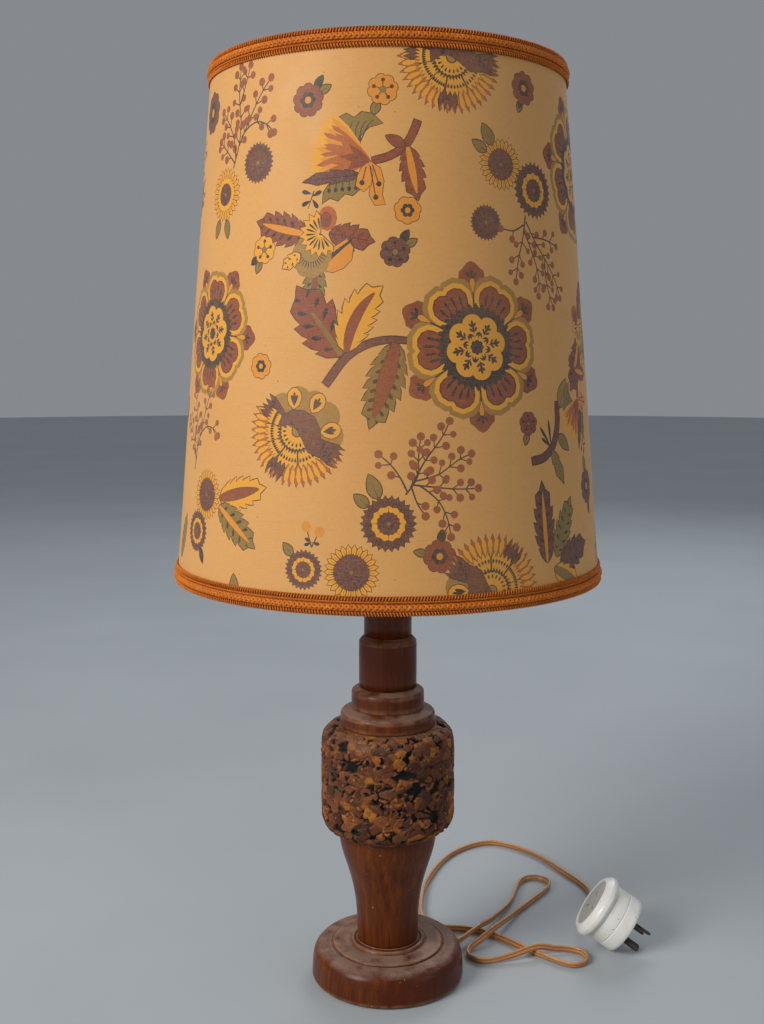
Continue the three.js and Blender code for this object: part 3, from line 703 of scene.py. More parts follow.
def make_plug():
    """The plug's two halves, with the pins' slots and the hole for the flex cut into its face."""
    flange = lathe("plug_flange_fine", [
        (0, 1.1), (17.5, 1.1, 0.6), (19.6, 1.1, 0.8), (20.4, 0.3, 0.5), (21.4, 0, 0.6), (22.6, 0.4, 0.8),
        (25.7, 3.6, 1.2), (26.5, 5.0, 0.8), (26.5, 8.0, 0.8), (25.2, 9.6, 0.9), (0, 9.6),
    ], "plug_plastic", "stand", "plug_flange", 128, place=on_plug)
    tools = []
    for x, y, turn in PLUG_SLOTS:
        c, s = math.cos(turn), math.sin(turn)
        wide, tall = SLOT_WIDTH / 2, SLOT_LENGTH / 2
        corners = [(-wide, -tall), (wide, -tall), (wide, tall), (-wide, tall)]
        box = [(x + c * a - s * b, y + s * a + c * b, z) for z in (-1, 2.4) for a, b in corners]
        faces = [[0, 1, 2, 3], [4, 5, 6, 7], [0, 1, 5, 4], [1, 2, 6, 5], [2, 3, 7, 6], [3, 0, 4, 7]]
        tools.append(cutter(on_plug(box), faces))
    start, end = on_plug([(r * math.sin(FLEX_WAY), r * math.cos(FLEX_WAY), 5.2) for r in (14, 34)])
    tools.append(prism(start, end, round_outline(3.0)))
    carve(flange, *tools)
    co = np.array([v.co for v in flange.data.vertices]) / MM - PLUG_BACK
    local = co @ plug_axes().T
    reach = np.hypot(local[:, 0], local[:, 1])
    dirty = np.clip((1.0 - np.abs(local[:, 2] - 1.0) / 1.2), 0, 1) * np.clip((21 - reach) / 2, 0, 1)
    set_values(flange.data, "grime", np.maximum(dirty, (local[:, 2] > 1.6) & (reach < 16)))
    body = lathe("plug_body_fine", [
        (0, 9.9), (21.9, 9.9, 0.2), (21.9, 11.6, 0.3), (23.0, 12.4, 0.5), (23.25, 21.9, 0.2),
        (22.7, 22.2, 0.2), (22.7, 22.9, 0.2), (23.25, 23.2, 0.2), (23.5, 31.6, 1.8), (22.6, 33.9, 1.4),
        (20.6, 34.5, 1.4), (0, 34.5),
    ], "plug_plastic", "stand", "plug_body", 128, place=on_plug)
    pieces = [flange, body]
    for pin in ("plug_pin_active", "plug_pin_neutral", "plug_pin_earth"):
        pieces.append(refined(pin, "pin_metal", 0.3))
    for screw in ("plug_screw_1", "plug_screw_2"):
        pieces.append(refined(screw, "brass", 0.12))
    return pieces


make_camera()
make_studio()
flex, flex_line, flex_length = make_cord()
plug_pieces = make_plug()


# ---------------------------------------------------------------- wooden stand
def make_stand():
    base = lathe("base_disc_fine", [
        (16, 1.2), (58.4, 1.2, 0.4), (59.15, 2.2, 0.8), (59.2, 4.5), (58.9, 10), (58.6, 14.5),
        (58.1, 17.6, 5), (57.3, 20.4, 5), (55.6, 23.0, 5), (53.2, 24.9, 4), (49.0, 25.75, 6),
        (44.4, 25.7, 1.0), (43.7, 25.15, 0.4), (43.0, 25.3, 0.3), (42.85, 26.6, 0.6), (41.7, 27.2, 0.8),
        (36, 27.4, 6), (31, 27.55, 1.2), (29.7, 27.1, 0.7), (28.9, 27.5, 0.4), (28.5, 28.6, 0.9),
        (27.6, 29.7, 1.1), (26.2, 29.5, 0.8), (25.2, 28.3, 0.5), (24.6, 28.6, 0.4), (24.4, 30.4, 0.3),
        (5.3, 30.4), (5.3, 21.5), (16, 21.5),
    ], "wood", "stand", "base_disc", 176)
    a = math.radians(32)
    aim = (math.cos(a), math.sin(a))
    places = [Vector((aim[0] * d, aim[1] * d, 6.5)) for d in (12, 63, 57.4, 63)]
    carve(base, prism(places[0], places[1], round_outline(3.9)),
          prism(places[2], places[3], round_outline(5.1)))
    lathe("lower_column_fine", [
        (5.3, 30.4), (23.9, 30.4), (23.75, 34, 6), (23.8, 41, 8), (24.2, 52, 12), (25.1, 62, 12),
        (26.7, 72, 14), (29.0, 81.5, 14), (31.7, 90.5, 14), (34.2, 98, 12), (36.2, 105.2, 10),
        (37.35, 112, 6), (37.5, 116.5, 4), (37.3, 119.5), (5.3, 119.5),
    ], "wood", "stand", "lower_column", 160)
    lathe("lower_collar_fine", [
        (5.3, 202.5), (35.8, 202.5), (36.3, 203.6, 0.6), (36.35, 208, 4), (36.2, 211.5, 1.6),
        (35.2, 213.1, 1.5), (32, 214.2, 3), (28.4, 215.2, 1.0), (27.9, 215.8), (5.3, 215.8),
    ], "wood", "stand", "lower_collar", 160)
    lathe("upper_collar_fine", [
        (5.3, 215.8), (27.5, 215.8), (27.8, 216.8, 0.5), (27.85, 223, 4), (27.7, 228.3, 1.3),
        (26.8, 229.7, 1.3), (24.5, 230.8, 2), (22.6, 231.5, 0.7), (22.2, 232), (5.3, 232),
    ], "wood", "stand", "upper_collar", 144)
    lathe("upper_column_fine", [
        (5.3, 232), (22.0, 232), (22.05, 245, 10), (22.0, 265.6), (21.95, 267.3, 1.2), (21.1, 268.6, 1.1),
        (19.4, 270.4, 1.2), (18.4, 271.5), (5.3, 271.5),
    ], "wood", "stand", "upper_column", 128)
    lathe("neck_fine", [
        (5.3, 271.5), (18.1, 271.5), (18.15, 300, 10), (18.1, 352, 2.0), (5.3, 352),
    ], "wood", "stand", "neck", 112)
    felt = lathe("felt_pad_fine", [(0, 0), (56.8, 0, 0.4), (57.2, 0.6, 0.4), (56.8, 1.2, 0.3), (0, 1.2)],
                 "felt", "stand", "felt_pad", 96)


CORK_COLUMNS = 480
CORK_STEP = 0.62
GRANULES = 1750
CRUMBS = 26000
CORK_HIDDEN = 37.6


def make_cork():
    """A barrel of pressed cork granules, each with its own height and tone. Some have fallen out."""
    rng = np.random.default_rng(7)
    segments = CORK_COLUMNS
    outline, _ = fillet([
        (5.3, 119.5), (41.0, 119.5, 1.5), (47.2, 122.2, 5), (50.7, 127.6, 6), (51.5, 134, 8),
        (51.5, 160, 10), (51.5, 188, 8), (50.3, 195.5, 7), (46.3, 200.9, 6), (40.0, 202.5, 2),
        (5.3, 202.5),
    ], 8)
    line, _ = even(np.array([(r, 0, z) for r, z in outline]), CORK_STEP)
    line = line[line[:, 0] > 33]
    line = np.vstack([[5.3, 0, 119.5], line, [5.3, 0, 202.5]])
    angle = np.arange(segments) * TURN / segments
    r, z = line[:, :1], line[:, 2:]
    skin = np.stack([r * np.cos(angle), r * np.sin(angle), z + 0 * angle], 2)
    out = np.gradient(line, axis=0)
    out = np.stack([out[:, 2], -out[:, 0]], 1)
    out /= np.linalg.norm(out, axis=1)[:, None]
    normal = np.stack([out[:, :1] * np.cos(angle), out[:, :1] * np.sin(angle), out[:, 1:] + 0 * angle], 2)
    flat = skin.reshape(-1, 3)

    def granules(count, squash):
        a = rng.random(count) * TURN
        h = rng.uniform(112, 210, count)
        d = rng.uniform(38, 54, count)
        seeds = np.stack([d * np.cos(a), d * np.sin(a), h], 1)
        tree = KDTree(count)
        for i, s in enumerate(seeds):
            tree.insert((s[0], s[1], s[2] * squash), i)
        tree.balance()
        found = [tree.find_n((x + 1.1 * noise.noise(Vector((x, y, zz)) * 0.35), y, zz * squash), 2)
                 for x, y, zz in flat.tolist()]
        nearest_one = np.array([f[0][1] for f in found])
        gap = np.array([f[1][2] for f in found]) - np.array([f[0][2] for f in found])
        return nearest_one, gap

    big, big_gap = granules(GRANULES, 1.3)
    tiny, tiny_gap = granules(CRUMBS, 1.2)
    level = rng.normal(0, 0.17, GRANULES)
    gone = (rng.random(GRANULES) < 0.065) * rng.uniform(1.6, 3.0, GRANULES)
    small_gone = (rng.random(CRUMBS) < 0.075) * rng.uniform(0.8, 1.9, CRUMBS)
    step = rng.normal(0, 0.06, CRUMBS)
    seam = np.clip(1 - big_gap / 0.9, 0, 1) ** 1.5
    fine_seam = np.clip(1 - tiny_gap / 0.5, 0, 1)
    crack = np.array([noise.noise(Vector(p) * 0.09) for p in flat.tolist()])
    crack = np.clip((crack - 0.12) * 5, 0, 1) * (big_gap < 1.0)
    depth = gone[big] * np.clip(big_gap / 0.35, 0.35, 1) + small_gone[tiny] + 0.60 * seam + 0.10 * fine_seam
    depth += 1.5 * crack + 0.25 - level[big] - step[tiny]
    covered = (flat[:, 0] ** 2 + flat[:, 1] ** 2) ** 0.5 < CORK_HIDDEN
    depth = np.where(covered, 0.1, np.clip(depth, -0.35, 3.4))
    points = flat - normal.reshape(-1, 3) * depth[:, None]
    cork = new_piece("cork_barrel_fine", points, grid_faces(len(line), segments, wrap_rows=True), "cork",
                     "stand", "cork_barrel", recalc=True)
    tones = np.array([srgb(150, 84, 34), srgb(120, 62, 28), srgb(96, 50, 26), srgb(176, 100, 36),
                      srgb(84, 44, 26),
                      srgb(132, 76, 40), srgb(196, 122, 40), srgb(108, 54, 30)])
    share = np.array([0.22, 0.24, 0.12, 0.14, 0.06, 0.16, 0.05, 0.05])
    tone = tones[rng.choice(8, GRANULES, p=share / share.sum())]
    shade_of = rng.uniform(0.72, 1.18, CRUMBS)[:, None]
    colour = tone[big] * shade_of[tiny]
    colour[:, 3] = 1
    set_colours(cork.data, "tone", colour)
    # Painted shade for the pits and cracks, growing with their depth.
    set_values(cork.data, "pit_shade", np.clip((depth - 0.75) / 1.1, 0, 1) ** 0.8 * (~covered))


def make_holder():
    for node, look, bevel in (
        ("cord_bush", "bush", 0.2), ("threaded_tube", "steel", 0.15), ("bottom_washer", "steel", 0.15),
        ("bottom_nut", "steel", 0.3), ("top_washer", "brass", 0.2), ("inner_flex", "flex", 0),
        ("holder_cap", "brass", 0.25), ("holder_insert", "bakelite", 0.25), ("holder_skirt", "brass", 0.25),
        ("contact_plunger_1", "brass", 0.15), ("contact_plunger_2", "brass", 0.15),
        ("terminal_screw_1", "brass", 0.1), ("terminal_screw_2", "brass", 0.1),
        ("switch_bar", "bakelite", 0.4), ("shade_ring", "bakelite", 0.35),
        ("bulb_cap", "brass", 0.25), ("bulb_insulator", "bakelite", 0.2),
        ("bulb_contact_1", "steel", 0.2), ("bulb_contact_2", "steel", 0.2), ("filament_mount", "glass", 0),
    ):
        refined(node, look, bevel)
    # Each spring gets a mesh of its own. The real springs shorten as the bulb pushes the plungers in.
    for node in ("plunger_spring_1", "plunger_spring_2"):
        spring = refined(node, "steel", 0)
        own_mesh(spring)


BULB_BASE = 395.0
BULB_CENTRE = 470.0
BULB_RADIUS = 30.0
GLASS = 0.9


def make_bulb():
    base, centre, radius = BULB_BASE, BULB_CENTRE, BULB_RADIUS
    swell = [(13.6, 37), (14.8, 42), (17.4, 48.2), (21.2, 54.0), (25.2, 60.0), (28.2, 66.0), (29.7, 71.0)]
    side = [(10.4, base + 21), (11, base + 27), (12.2, base + 32)] + [(r, base + z) for r, z in swell]
    dome = [(radius * math.cos(a), centre + radius * math.sin(a)) for a in np.radians(np.arange(0, 90, 7.5))]
    outer = centripetal([(r, 0, z) for r, z in side + dome + [(0.001, centre + radius)]], 3)
    outer = [(max(p[0], 0), p[2]) for p in outer[:-1]]
    inner = [(max(r - GLASS, 0.05), z - GLASS * max(z - centre, 0) / radius) for r, z in outer]
    profile = outer + [(0.02, centre + radius)] + [(0.02, centre + radius - GLASS)] + inner[::-1]
    lathe("bulb_glass_fine", profile, "glass", "bulb", "bulb_glass", 96, marks=lambda o: [0.0] * len(o))


# ---------------------------------------------------------------- shade: shape
SHADE_Z0, SHADE_Z1 = 319.6, 683.7
SHADE_R0, SHADE_R1 = 157.0, 125.6
SLOPE = (SHADE_R1 - SHADE_R0) / (SHADE_Z1 - SHADE_Z0)
SIN_CONE = -SLOPE / math.hypot(1, SLOPE)
CUT_MIDDLE = (SHADE_R0 + SHADE_R1) / 2 / SIN_CONE
SKIN = 0.6
LAP = 12.0


def shade_radius(z):
    return SHADE_R0 + SLOPE * (z - SHADE_Z0)


def cut_place(theta, z):
    """Where a point of the shade, at an angle in degrees and a height, lies on its flat cut cloth."""
    rho = shade_radius(z) / SIN_CONE
    phi = math.radians(theta) * SIN_CONE
    return Vector((rho * math.sin(phi), CUT_MIDDLE - rho * math.cos(phi)))


def wrapped(flat):
    """Points of the flat cloth, as (angle in radians, height)."""
    back = CUT_MIDDLE - flat[:, 1]
    rho = np.hypot(flat[:, 0], back)
    theta = np.arctan2(flat[:, 0], back) / SIN_CONE
    return theta, SHADE_Z0 + (rho * SIN_CONE - SHADE_R0) / SLOPE


# ---------------------------------------------------------------- shade: drawing the print
INKS = {
    "ground": srgb(220, 159, 88),
    "brick": srgb(136, 62, 42),
    "plum": srgb(104, 58, 54),
    "ochre": srgb(232, 158, 44),
    "amber": srgb(222, 138, 38),
    "olive": srgb(134, 108, 52),
    "khaki": srgb(160, 118, 54),
    "ink": srgb(36, 38, 46),
    "line": srgb(50, 38, 36),
    "rust": srgb(178, 90, 38),
    "berry": srgb(144, 72, 48),
}
printed = []


class Stamp:
    """Puts shapes drawn in millimetres about a motif's own middle onto the cloth."""

    def __init__(self, theta, z, turn=0.0, scale=1.0):
        self.anchors = [theta]
        if theta > 150:
            self.anchors.append(theta - 360)
        if theta < -150:
            self.anchors.append(theta + 360)
        self.z = z
        self.turn = math.radians(turn)
        self.scale = scale

    def put(self, shape, colour):
        c, s = math.cos(self.turn) * self.scale, math.sin(self.turn) * self.scale
        x, y = np.asarray(shape, float).T
        x, y = c * x - s * y, s * x + c * y
        for theta in self.anchors:
            here = cut_place(theta, self.z)
            phi = math.radians(theta) * SIN_CONE
            cp, sp = math.cos(phi), math.sin(phi)
            printed.append((np.stack([here.x + cp * x - sp * y, here.y + sp * x + cp * y], 1), colour))

    def outlined(self, shape, colour, line="line", width=0.72):
        self.put(grown(shape, width), line)
        self.put(shape, colour)


def grown(shape, by):
    """The outline moved outward."""
    shape = np.asarray(shape, float)
    ahead, behind = np.roll(shape, -1, 0) - shape, shape - np.roll(shape, 1, 0)
    ahead /= np.maximum(np.linalg.norm(ahead, axis=1), 1e-9)[:, None]
    behind /= np.maximum(np.linalg.norm(behind, axis=1), 1e-9)[:, None]
    out = np.stack([ahead[:, 1] + behind[:, 1], -ahead[:, 0] - behind[:, 0]], 1)
    size = np.maximum(np.linalg.norm(out, axis=1), 0.6)[:, None]
    x, y = shape[:, 0], shape[:, 1]
    turn = np.sum(x * np.roll(y, -1) - y * np.roll(x, -1))
    return shape + out / size * by * (1 if turn > 0 else -1)


def polar(radius, count, turn=0.0):
    """A closed outline of the radius that a function gives for each angle."""
    a = np.arange(count) * TURN / count
    r = np.array([radius(x) for x in a])
    return np.stack([r * np.cos(a + turn), r * np.sin(a + turn)], 1)


def blob(x, y, rx, ry=None, count=12):
    a = np.arange(count) * TURN / count
    return np.stack([rx * np.cos(a), (ry or rx) * np.sin(a)], 1) + (x, y)


def turned(p, angle):
    c, s = math.cos(angle), math.sin(angle)
    return np.asarray(p, float) @ np.array([[c, s], [-s, c]])


def lobed(radius, lobes, depth, turn=0.0, count=6):
    def reach(a):
        return radius * (1 - depth + depth * abs(math.cos(lobes * a / 2)) ** 0.7)

    return polar(reach, lobes * count, turn)


def toothed(radius, teeth, depth, turn=0.0):
    a = np.arange(teeth * 2) * math.pi / teeth + turn
    r = np.where(np.arange(teeth * 2) % 2 == 0, radius, radius * (1 - depth))
    return np.stack([r * np.cos(a), r * np.sin(a)], 1)


def drop(x, y, angle, length, width):
    """A tapered dash that starts at x, y and is widest near its far end."""
    out = [(0, 0), (0.35, 0.32), (0.65, 0.5), (0.88, 0.38), (1, 0), (0.88, -0.38), (0.65, -0.5),
           (0.35, -0.32)]
    return turned([(p * length, q * width) for p, q in out], angle) + (x, y)


def stroke(points, start, end=None):
    """A line of changing width through the points."""
    end = start if end is None else end
    if len(points) > 2:
        p = centripetal([(x, y, 0) for x, y in points], 4)[:, :2]
    else:
        p = np.asarray(points, float)
    d = np.gradient(p, axis=0)
    d /= np.maximum(np.linalg.norm(d, axis=1), 1e-9)[:, None]
    n = np.stack([-d[:, 1], d[:, 0]], 1)
    w = np.linspace(start / 2, end / 2, len(p))[:, None]
    return np.vstack([p + n * w, (p - n * w)[::-1]])


def leaf_half(t):
    """Half the width of a leaf along its length, as a share of its widest."""
    return 1.62 * t ** 0.55 * (1 - t) ** 0.75


def leaf_outline(length, width, teeth, bend=0.0):
    """A toothed leaf from its stalk at the origin along +x; bend turns its tip, in degrees."""
    side = []
    for k in range(teeth):
        for share, jut, lean in ((0.05, 0.80, 0.0), (0.5, 0.98, 0.0), (0.86, 1.16, 0.045)):
            t = (k + share) / (teeth + 1.15)
            side.append((t + lean, width / 2 * leaf_half(t) * jut))
    side += [(t, width / 2 * w) for t, w in ((0.885, 0.20), (0.95, 0.09))]
    p = np.array([(0, 0)] + [(t, -w) for t, w in side] + [(1, 0)] + side[::-1])
    return bent(p * (length, 1), length, bend)


def bent(p, length, bend):
    """Bends points laid along +x so that the far end has turned by bend degrees."""
    if not bend:
        return np.asarray(p, float)
    k = math.radians(bend) / length
    p = np.asarray(p, float)
    a = p[:, 0] * k
    return np.stack([np.sin(a) / k - p[:, 1] * np.sin(a), (1 - np.cos(a)) / k + p[:, 1] * np.cos(a)], 1)


def leaf(s, x, y, angle, length, width, fill, teeth=5, bend=0.0, rib=None, rib_width=0.2, dash=None,
         dashes=5, veins=None):
    """A leaf with a rib in a second colour, thick dashes between the veins, or thin veins."""
    angle = math.radians(angle)

    def at(p):
        return turned(bent(p, length, bend), angle) + (x, y)

    outline = turned(leaf_outline(length, width, teeth, bend), angle) + (x, y)
    s.outlined(outline, fill)
    for k in range(dashes if dash else 0):
        t = (k + 0.7) / (dashes + 0.8)
        reach = width / 2 * leaf_half(t)
        for side in (-1, 1):
            p = drop(t * length, side * reach * 0.22, side * math.radians(52), reach * 0.62,
                     reach * 0.18 + 0.7)
            s.put(at(p), dash)
    for k in range(dashes if veins else 0):
        t = (k + 0.5) / (dashes + 0.6)
        reach = width / 2 * leaf_half(t)
        for side in (-1, 1):
            p = stroke([(t * length, 0), (t * length + reach * 0.55, side * reach * 0.72)], 0.55, 0.25)
            s.put(at(p), veins)
    if rib:
        t = np.linspace(0, 0.86, 9)
        w = rib_width * width * np.sin(math.pi * np.clip(t + 0.12, 0, 1)) ** 0.7
        p = np.vstack([np.stack([t * length, w / 2], 1), np.stack([t * length, -w / 2], 1)[::-1]])
        s.outlined(at(p), rib, width=0.25)
    elif veins:
        s.put(at(stroke([(0, 0), (length * 0.9, 0)], 0.8, 0.3)), veins)


def simple_leaf(s, x, y, angle, length, width, fill, vein=True):
    a = math.radians(angle)
    t = np.linspace(0, 1, 8)
    w = width / 2 * np.sin(math.pi * t ** 0.8) ** 0.9
    p = np.vstack([np.stack([t * length, w], 1), np.stack([t * length, -w], 1)[::-1][1:-1]])
    s.outlined(turned(p, a) + (x, y), fill)
    if vein:
        s.put(turned(stroke([(0, 0), (length * 0.62, 0)], 0.5, 0.2), a) + (x, y), "line")


def rosette(s, phase):
    """The large flower: two-lobed petals in ochre and khaki borders, buds between them, a spiky eye."""
    step = TURN / 6
    phase = math.radians(phase)

    def petal(a):
        rim = [(-0.26, 20), (-0.33, 25), (-0.37, 30), (-0.36, 34), (-0.29, 37.2), (-0.19, 39.0),
               (-0.08, 38.8), (0.0, 37.2), (0.08, 39.4), (0.19, 39.6), (0.29, 37.2), (0.36, 34),
               (0.37, 30), (0.33, 25), (0.26, 20)]
        return np.array([way(a + b, r) for b, r in rim])

    angles = [phase + k * step for k in range(6)]
    between = [a + step / 2 for a in angles]
    for a in between:
        d, n = np.array((math.cos(a), math.sin(a))), np.array((-math.sin(a), math.cos(a)))
        rim = [(36, -5), (41, -7.6), (44, -9.2), (47.5, -8.8), (49.4, -6.2), (51.2, -4.6), (53, -2.6),
               (54, 0), (53, 2.6), (51.2, 4.6), (49.4, 6.2), (47.5, 8.8), (44, 9.2), (41, 7.6), (36, 5)]
        s.put([d * u + n * v for u, v in rim], "brick")
    for by, colour in ((7.4, "khaki"), (3.9, "ochre")):
        for a in angles:
            s.put(grown(petal(a), by), colour)
    for a in between:
        direction = np.array((math.cos(a), math.sin(a)))
        s.put(stroke([direction * 24, direction * 45], 1.1, 0.9), "ink")
        s.outlined(drop(*(direction * 34), a, 9.5, 3.8), "amber", "ink", 0.4)
        for b in (-0.8, 0, 0.8):
            s.put(drop(*(direction * 43.0), a + b, 5.6, 2.2), "ink")
    for a in angles:
        s.outlined(petal(a), "brick", "line", 0.75)
        for b, r0, r1 in ((-0.22, 25, 34), (-0.07, 27, 36), (0.08, 27, 35), (0.22, 25, 34)):
            s.put(drop(*way(a + b, r0), a + b * 1.15, r1 - r0, 2.0), "ink")
    s.put(toothed(28.0, 36, 0.12), "ink")
    s.outlined(lobed(21.0, 8, 0.16, 0.2, 8), "ochre", width=0.4)
    for k in range(8):
        a = 0.2 + TURN * k / 8
        direction = np.array((math.cos(a), math.sin(a)))
        s.put(drop(*(direction * 8), a, 9.4, 2.1), "ink")
        for at, b in ((9.5, 0.75), (12.2, 0.65), (6.5, 0.9)):
            for side in (-1, 1):
                s.put(drop(*(direction * at), a + side * b, 4.0, 1.5), "ink")
        b = a + TURN / 16
        s.put(drop(*way(b, 5.5), b, 4.6, 1.7), "ink")
    s.put(lobed(4.8, 8, 0.2), "ink")


PETALS = 26


def daisy(s, radius, ring="ochre", leaves=()):
    """A round flower with a toothed rim. Without a ring its plum heart fills it."""
    for angle, length, width in leaves:
        a = math.radians(angle)
        simple_leaf(s, *way(a, radius * 0.9), angle, length, width, "olive")
    s.put(toothed(radius, PETALS, 0.15), "line")
    s.put(toothed(radius - 0.6, PETALS, 0.15), "plum")
    for k in range(PETALS):
        a = TURN * (k + 0.5) / PETALS
        s.put(stroke([way(a, radius * 0.60), way(a, radius * 0.88)], 0.7, 0.4), "line")
    for k in range(PETALS):
        a = TURN * k / PETALS
        s.put(drop(*way(a, radius * 0.64), a, radius * 0.16, radius * 0.045), "ink")
    if ring:
        s.outlined(toothed(radius * 0.62, PETALS // 2, 0.10, 0.1), ring, width=0.3)
        for k in range(8):
            a = TURN * k / 8
            s.put(stroke([way(a, radius * 0.36), way(a, radius * 0.56)], 0.6, 0.3), "rust")
    middle = radius * (0.40 if ring else 0.62)
    s.outlined(toothed(middle, 16, 0.10), "plum", width=0.35)
    for turn_, at, size in ((0, 0.62, 0.26), (0.25, 0.30, 0.22)):
        for k in range(11):
            a = TURN * (k + turn_) / 11
            s.put(drop(*way(a, middle * at), a, middle * size, middle * 0.11), "ink")
    s.put(blob(0, 0, middle * 0.16, count=8), "olive")


def sunflower(s, radius, core=0.66):
    """Pointed petals round a dark heart; core is the heart's share of the radius."""
    for k in range(PETALS):
        a = TURN * k / PETALS
        p = [(0.60, -0.085), (0.85, -0.11), (1.0, 0.0), (0.85, 0.11), (0.60, 0.085)]
        p = [way(a + b, r * radius) for r, b in p]
        s.outlined(p, "ochre", width=0.55)
        s.put(stroke([way(a, radius * 0.66), way(a, radius * 0.84)], 0.5, 0.3), "rust")
    if core < 0.6:
        s.outlined(toothed(radius * 0.68, 24, 0.12), "ochre", width=0.35)
    s.outlined(toothed(radius * core, 30, 0.07), "plum", width=0.4)
    for count, at, size in ((18, 0.76 * core, 0.10), (13, 0.52 * core, 0.11), (8, 0.21 * core, 0.12)):
        for k in range(count):
            a = TURN * (k + at) / count
            s.put(drop(*way(a, radius * at), a, radius * size, radius * 0.04), "ink")
    s.put(blob(0, 0, radius * 0.07, count=8), "olive")


def blossom(s, radius, fill, lobes=8, leaves=((40, 8, 4.2),), dots=False):
    """A small flower. With dots it has knobbed stamens, without it a dark eye."""
    for k, (angle, length, width) in enumerate(leaves):
        a = math.radians(angle)
        where = way(a, radius * 0.85)
        simple_leaf(s, *where, angle, length, width, ("olive", "ink")[k % 2], vein=k % 2 == 0)
    s.outlined(lobed(radius, lobes, 0.14, 0.2), fill, width=0.45)
    if dots:
        for k in range(5):
            a = TURN * k / 5 + 0.3
            d = np.array((math.cos(a), math.sin(a)))
            s.put(stroke([d * radius * 0.2, d * radius * 0.6], 0.6), "line")
            s.put(blob(*(d * radius * 0.62), radius * 0.14, count=8), "ink")
        s.outlined(blob(0, 0, radius * 0.2, count=8), "olive", width=0.3)
    else:
        s.put(lobed(radius * 0.52, 6, 0.22), "ink")
        s.put(blob(0, 0, radius * 0.22, count=8), "amber")


TWIG = 7.0


def sprig(s, branches, berry=2.5):
    """Thin branches with a berry at the end of every twig."""
    for branch in branches:
        line = centripetal([(x, y, 0) for x, y in branch], 6)[:, :2]
        length = np.sum(np.linalg.norm(np.diff(line, axis=0), axis=1))
        points, _ = even(np.column_stack([line, np.zeros(len(line))]), length / max(2, round(length / 9.0)))
        s.put(stroke([tuple(p[:2]) for p in points], 1.15, 0.8), "ink")
        for k in range(1, len(points)):
            p, d = points[k, :2], points[k, :2] - points[k - 1, :2]
            a = math.atan2(d[1], d[0])
            if k == len(points) - 1:
                s.put(blob(*p, berry * 1.1, count=10), "berry")
                continue
            for side in ((1, -1) if k > 1 else (1 if k % 2 else -1,)):
                b = a + side * (0.75 + 0.12 * ((k * 7) % 3))
                tip = p + TWIG * (0.8 + 0.14 * ((k * 5 + side) % 3)) * np.array((math.cos(b), math.sin(b)))
                s.put(stroke([tuple(p), tuple(tip)], 0.85, 0.7), "ink")
                s.put(blob(*tip, berry * (0.9 + 0.1 * ((k + side) % 3)), count=10), "berry")


def jagged_fan(s, x, y, reach, start, end, points, inner, colour, line="line", tips=0.84):
    """A fan of pointed petals between two angles, in degrees."""
    a = np.radians(np.linspace(start, end, points * 2 + 1))
    r = np.where(np.arange(points * 2 + 1) % 2 == 1, reach, reach * tips)
    out = np.stack([x + r * np.cos(a), y + r * np.sin(a)], 1)
    back = np.stack([x + inner * np.cos(a[::-2]), y + inner * np.sin(a[::-2])], 1)
    p = np.vstack([out, back])
    if line:
        s.outlined(p, colour, line)
    else:
        s.put(p, colour)


def carnation(s):
    """A fan-shaped flower, opening downward: a speckled heart and three looped petals on a khaki cloud."""
    for x, y, r in ((-16, 16, 9), (-6, 23, 10), (6, 25, 9), (16, 20, 10), (23, 9, 9.5), (26, -2, 8),
                    (3, 12, 14), (14, 4, 12)):
        s.put(blob(x, y, r, count=16), "khaki")
    jagged_fan(s, 0, 4, 37, 168, 352, 22, 16, "rust")
    for k in range(21):
        a = math.radians(172 + k * 8.6)
        s.put(drop(*way(a, 22, 0, 4), a, 12.5, 3.4), "ochre")
    for start, end, reach, count in ((146, 176, 33, 4), (243, 268, 36, 4), (335, 362, 36, 5)):
        jagged_fan(s, 0, 4, reach, start, end, count, 15, "plum")
        for k in range(count * 4):
            a = math.radians(start + (end - start) * ((k * 0.37) % 1 * 0.8 + 0.1))
            r = 19 + (reach - 23) * ((k * 0.618) % 1)
            s.put(drop(*way(a, r, 0, 4), a + k, 3.0, 1.3), "ink")
    for start, end in ((158, 184), (186, 216), (218, 246), (250, 290), (294, 336)):
        jagged_fan(s, 0, 4, 25.5, start, end, 5, 12, "ochre", tips=0.86)
        for k in range(6):
            a = math.radians(start + (end - start) * (k + 0.5) / 6)
            s.put(drop(*way(a, 17.5, 0, 4), a, 3.2, 1.6), "ink")
    jagged_fan(s, 0, 4, 15.5, 160, 344, 20, 10, "ink", None)
    jagged_fan(s, 0, 4, 12.5, 168, 336, 14, 4, "ochre", tips=0.9)
    for k in range(9):
        a = math.radians(180 + k * 18)
        s.put(drop(*way(a, 7.5, 0, 4), a, 3.2, 1.5), "ink")
    for x, y, angle in ((-7, 17, 108), (6, 19, 78), (16, 9, 28)):
        a = math.radians(angle)
        p = turned([(0, 0), (3, 3.6), (7, 5.2), (11, 4.6), (13.6, 2.2), (14.2, 0), (13.6, -2.2),
                    (11, -4.6), (7, -5.2), (3, -3.6)], a)
        s.outlined(p + (x, y), "ochre", "ink", 0.55)
        for b, n in ((-0.28, 8), (0, 9.5), (0.28, 8)):
            s.put(drop(*way(a, 2, x, y), a + b, n, 2.0), "ink")
    heart = [(-15, 2), (-14, 10), (-8, 16), (0, 18.5), (9, 17), (15, 11), (19, 2), (21, -7), (12, -6),
             (6, 0), (0, 5), (-6, 7)]
    s.outlined(heart, "plum", width=0.5)
    for k in range(34):
        x = -12 + 29 * ((k * 0.618) % 1)
        y = -2 + 17 * ((k * 0.367) % 1)
        if y < 15 - abs(x - 1) * 0.55 and y > 7 - 0.75 * max(x, -2):
            s.put(drop(x, y, k * 2.4, 3.4, 1.7), "ink" if k % 3 else "brick")


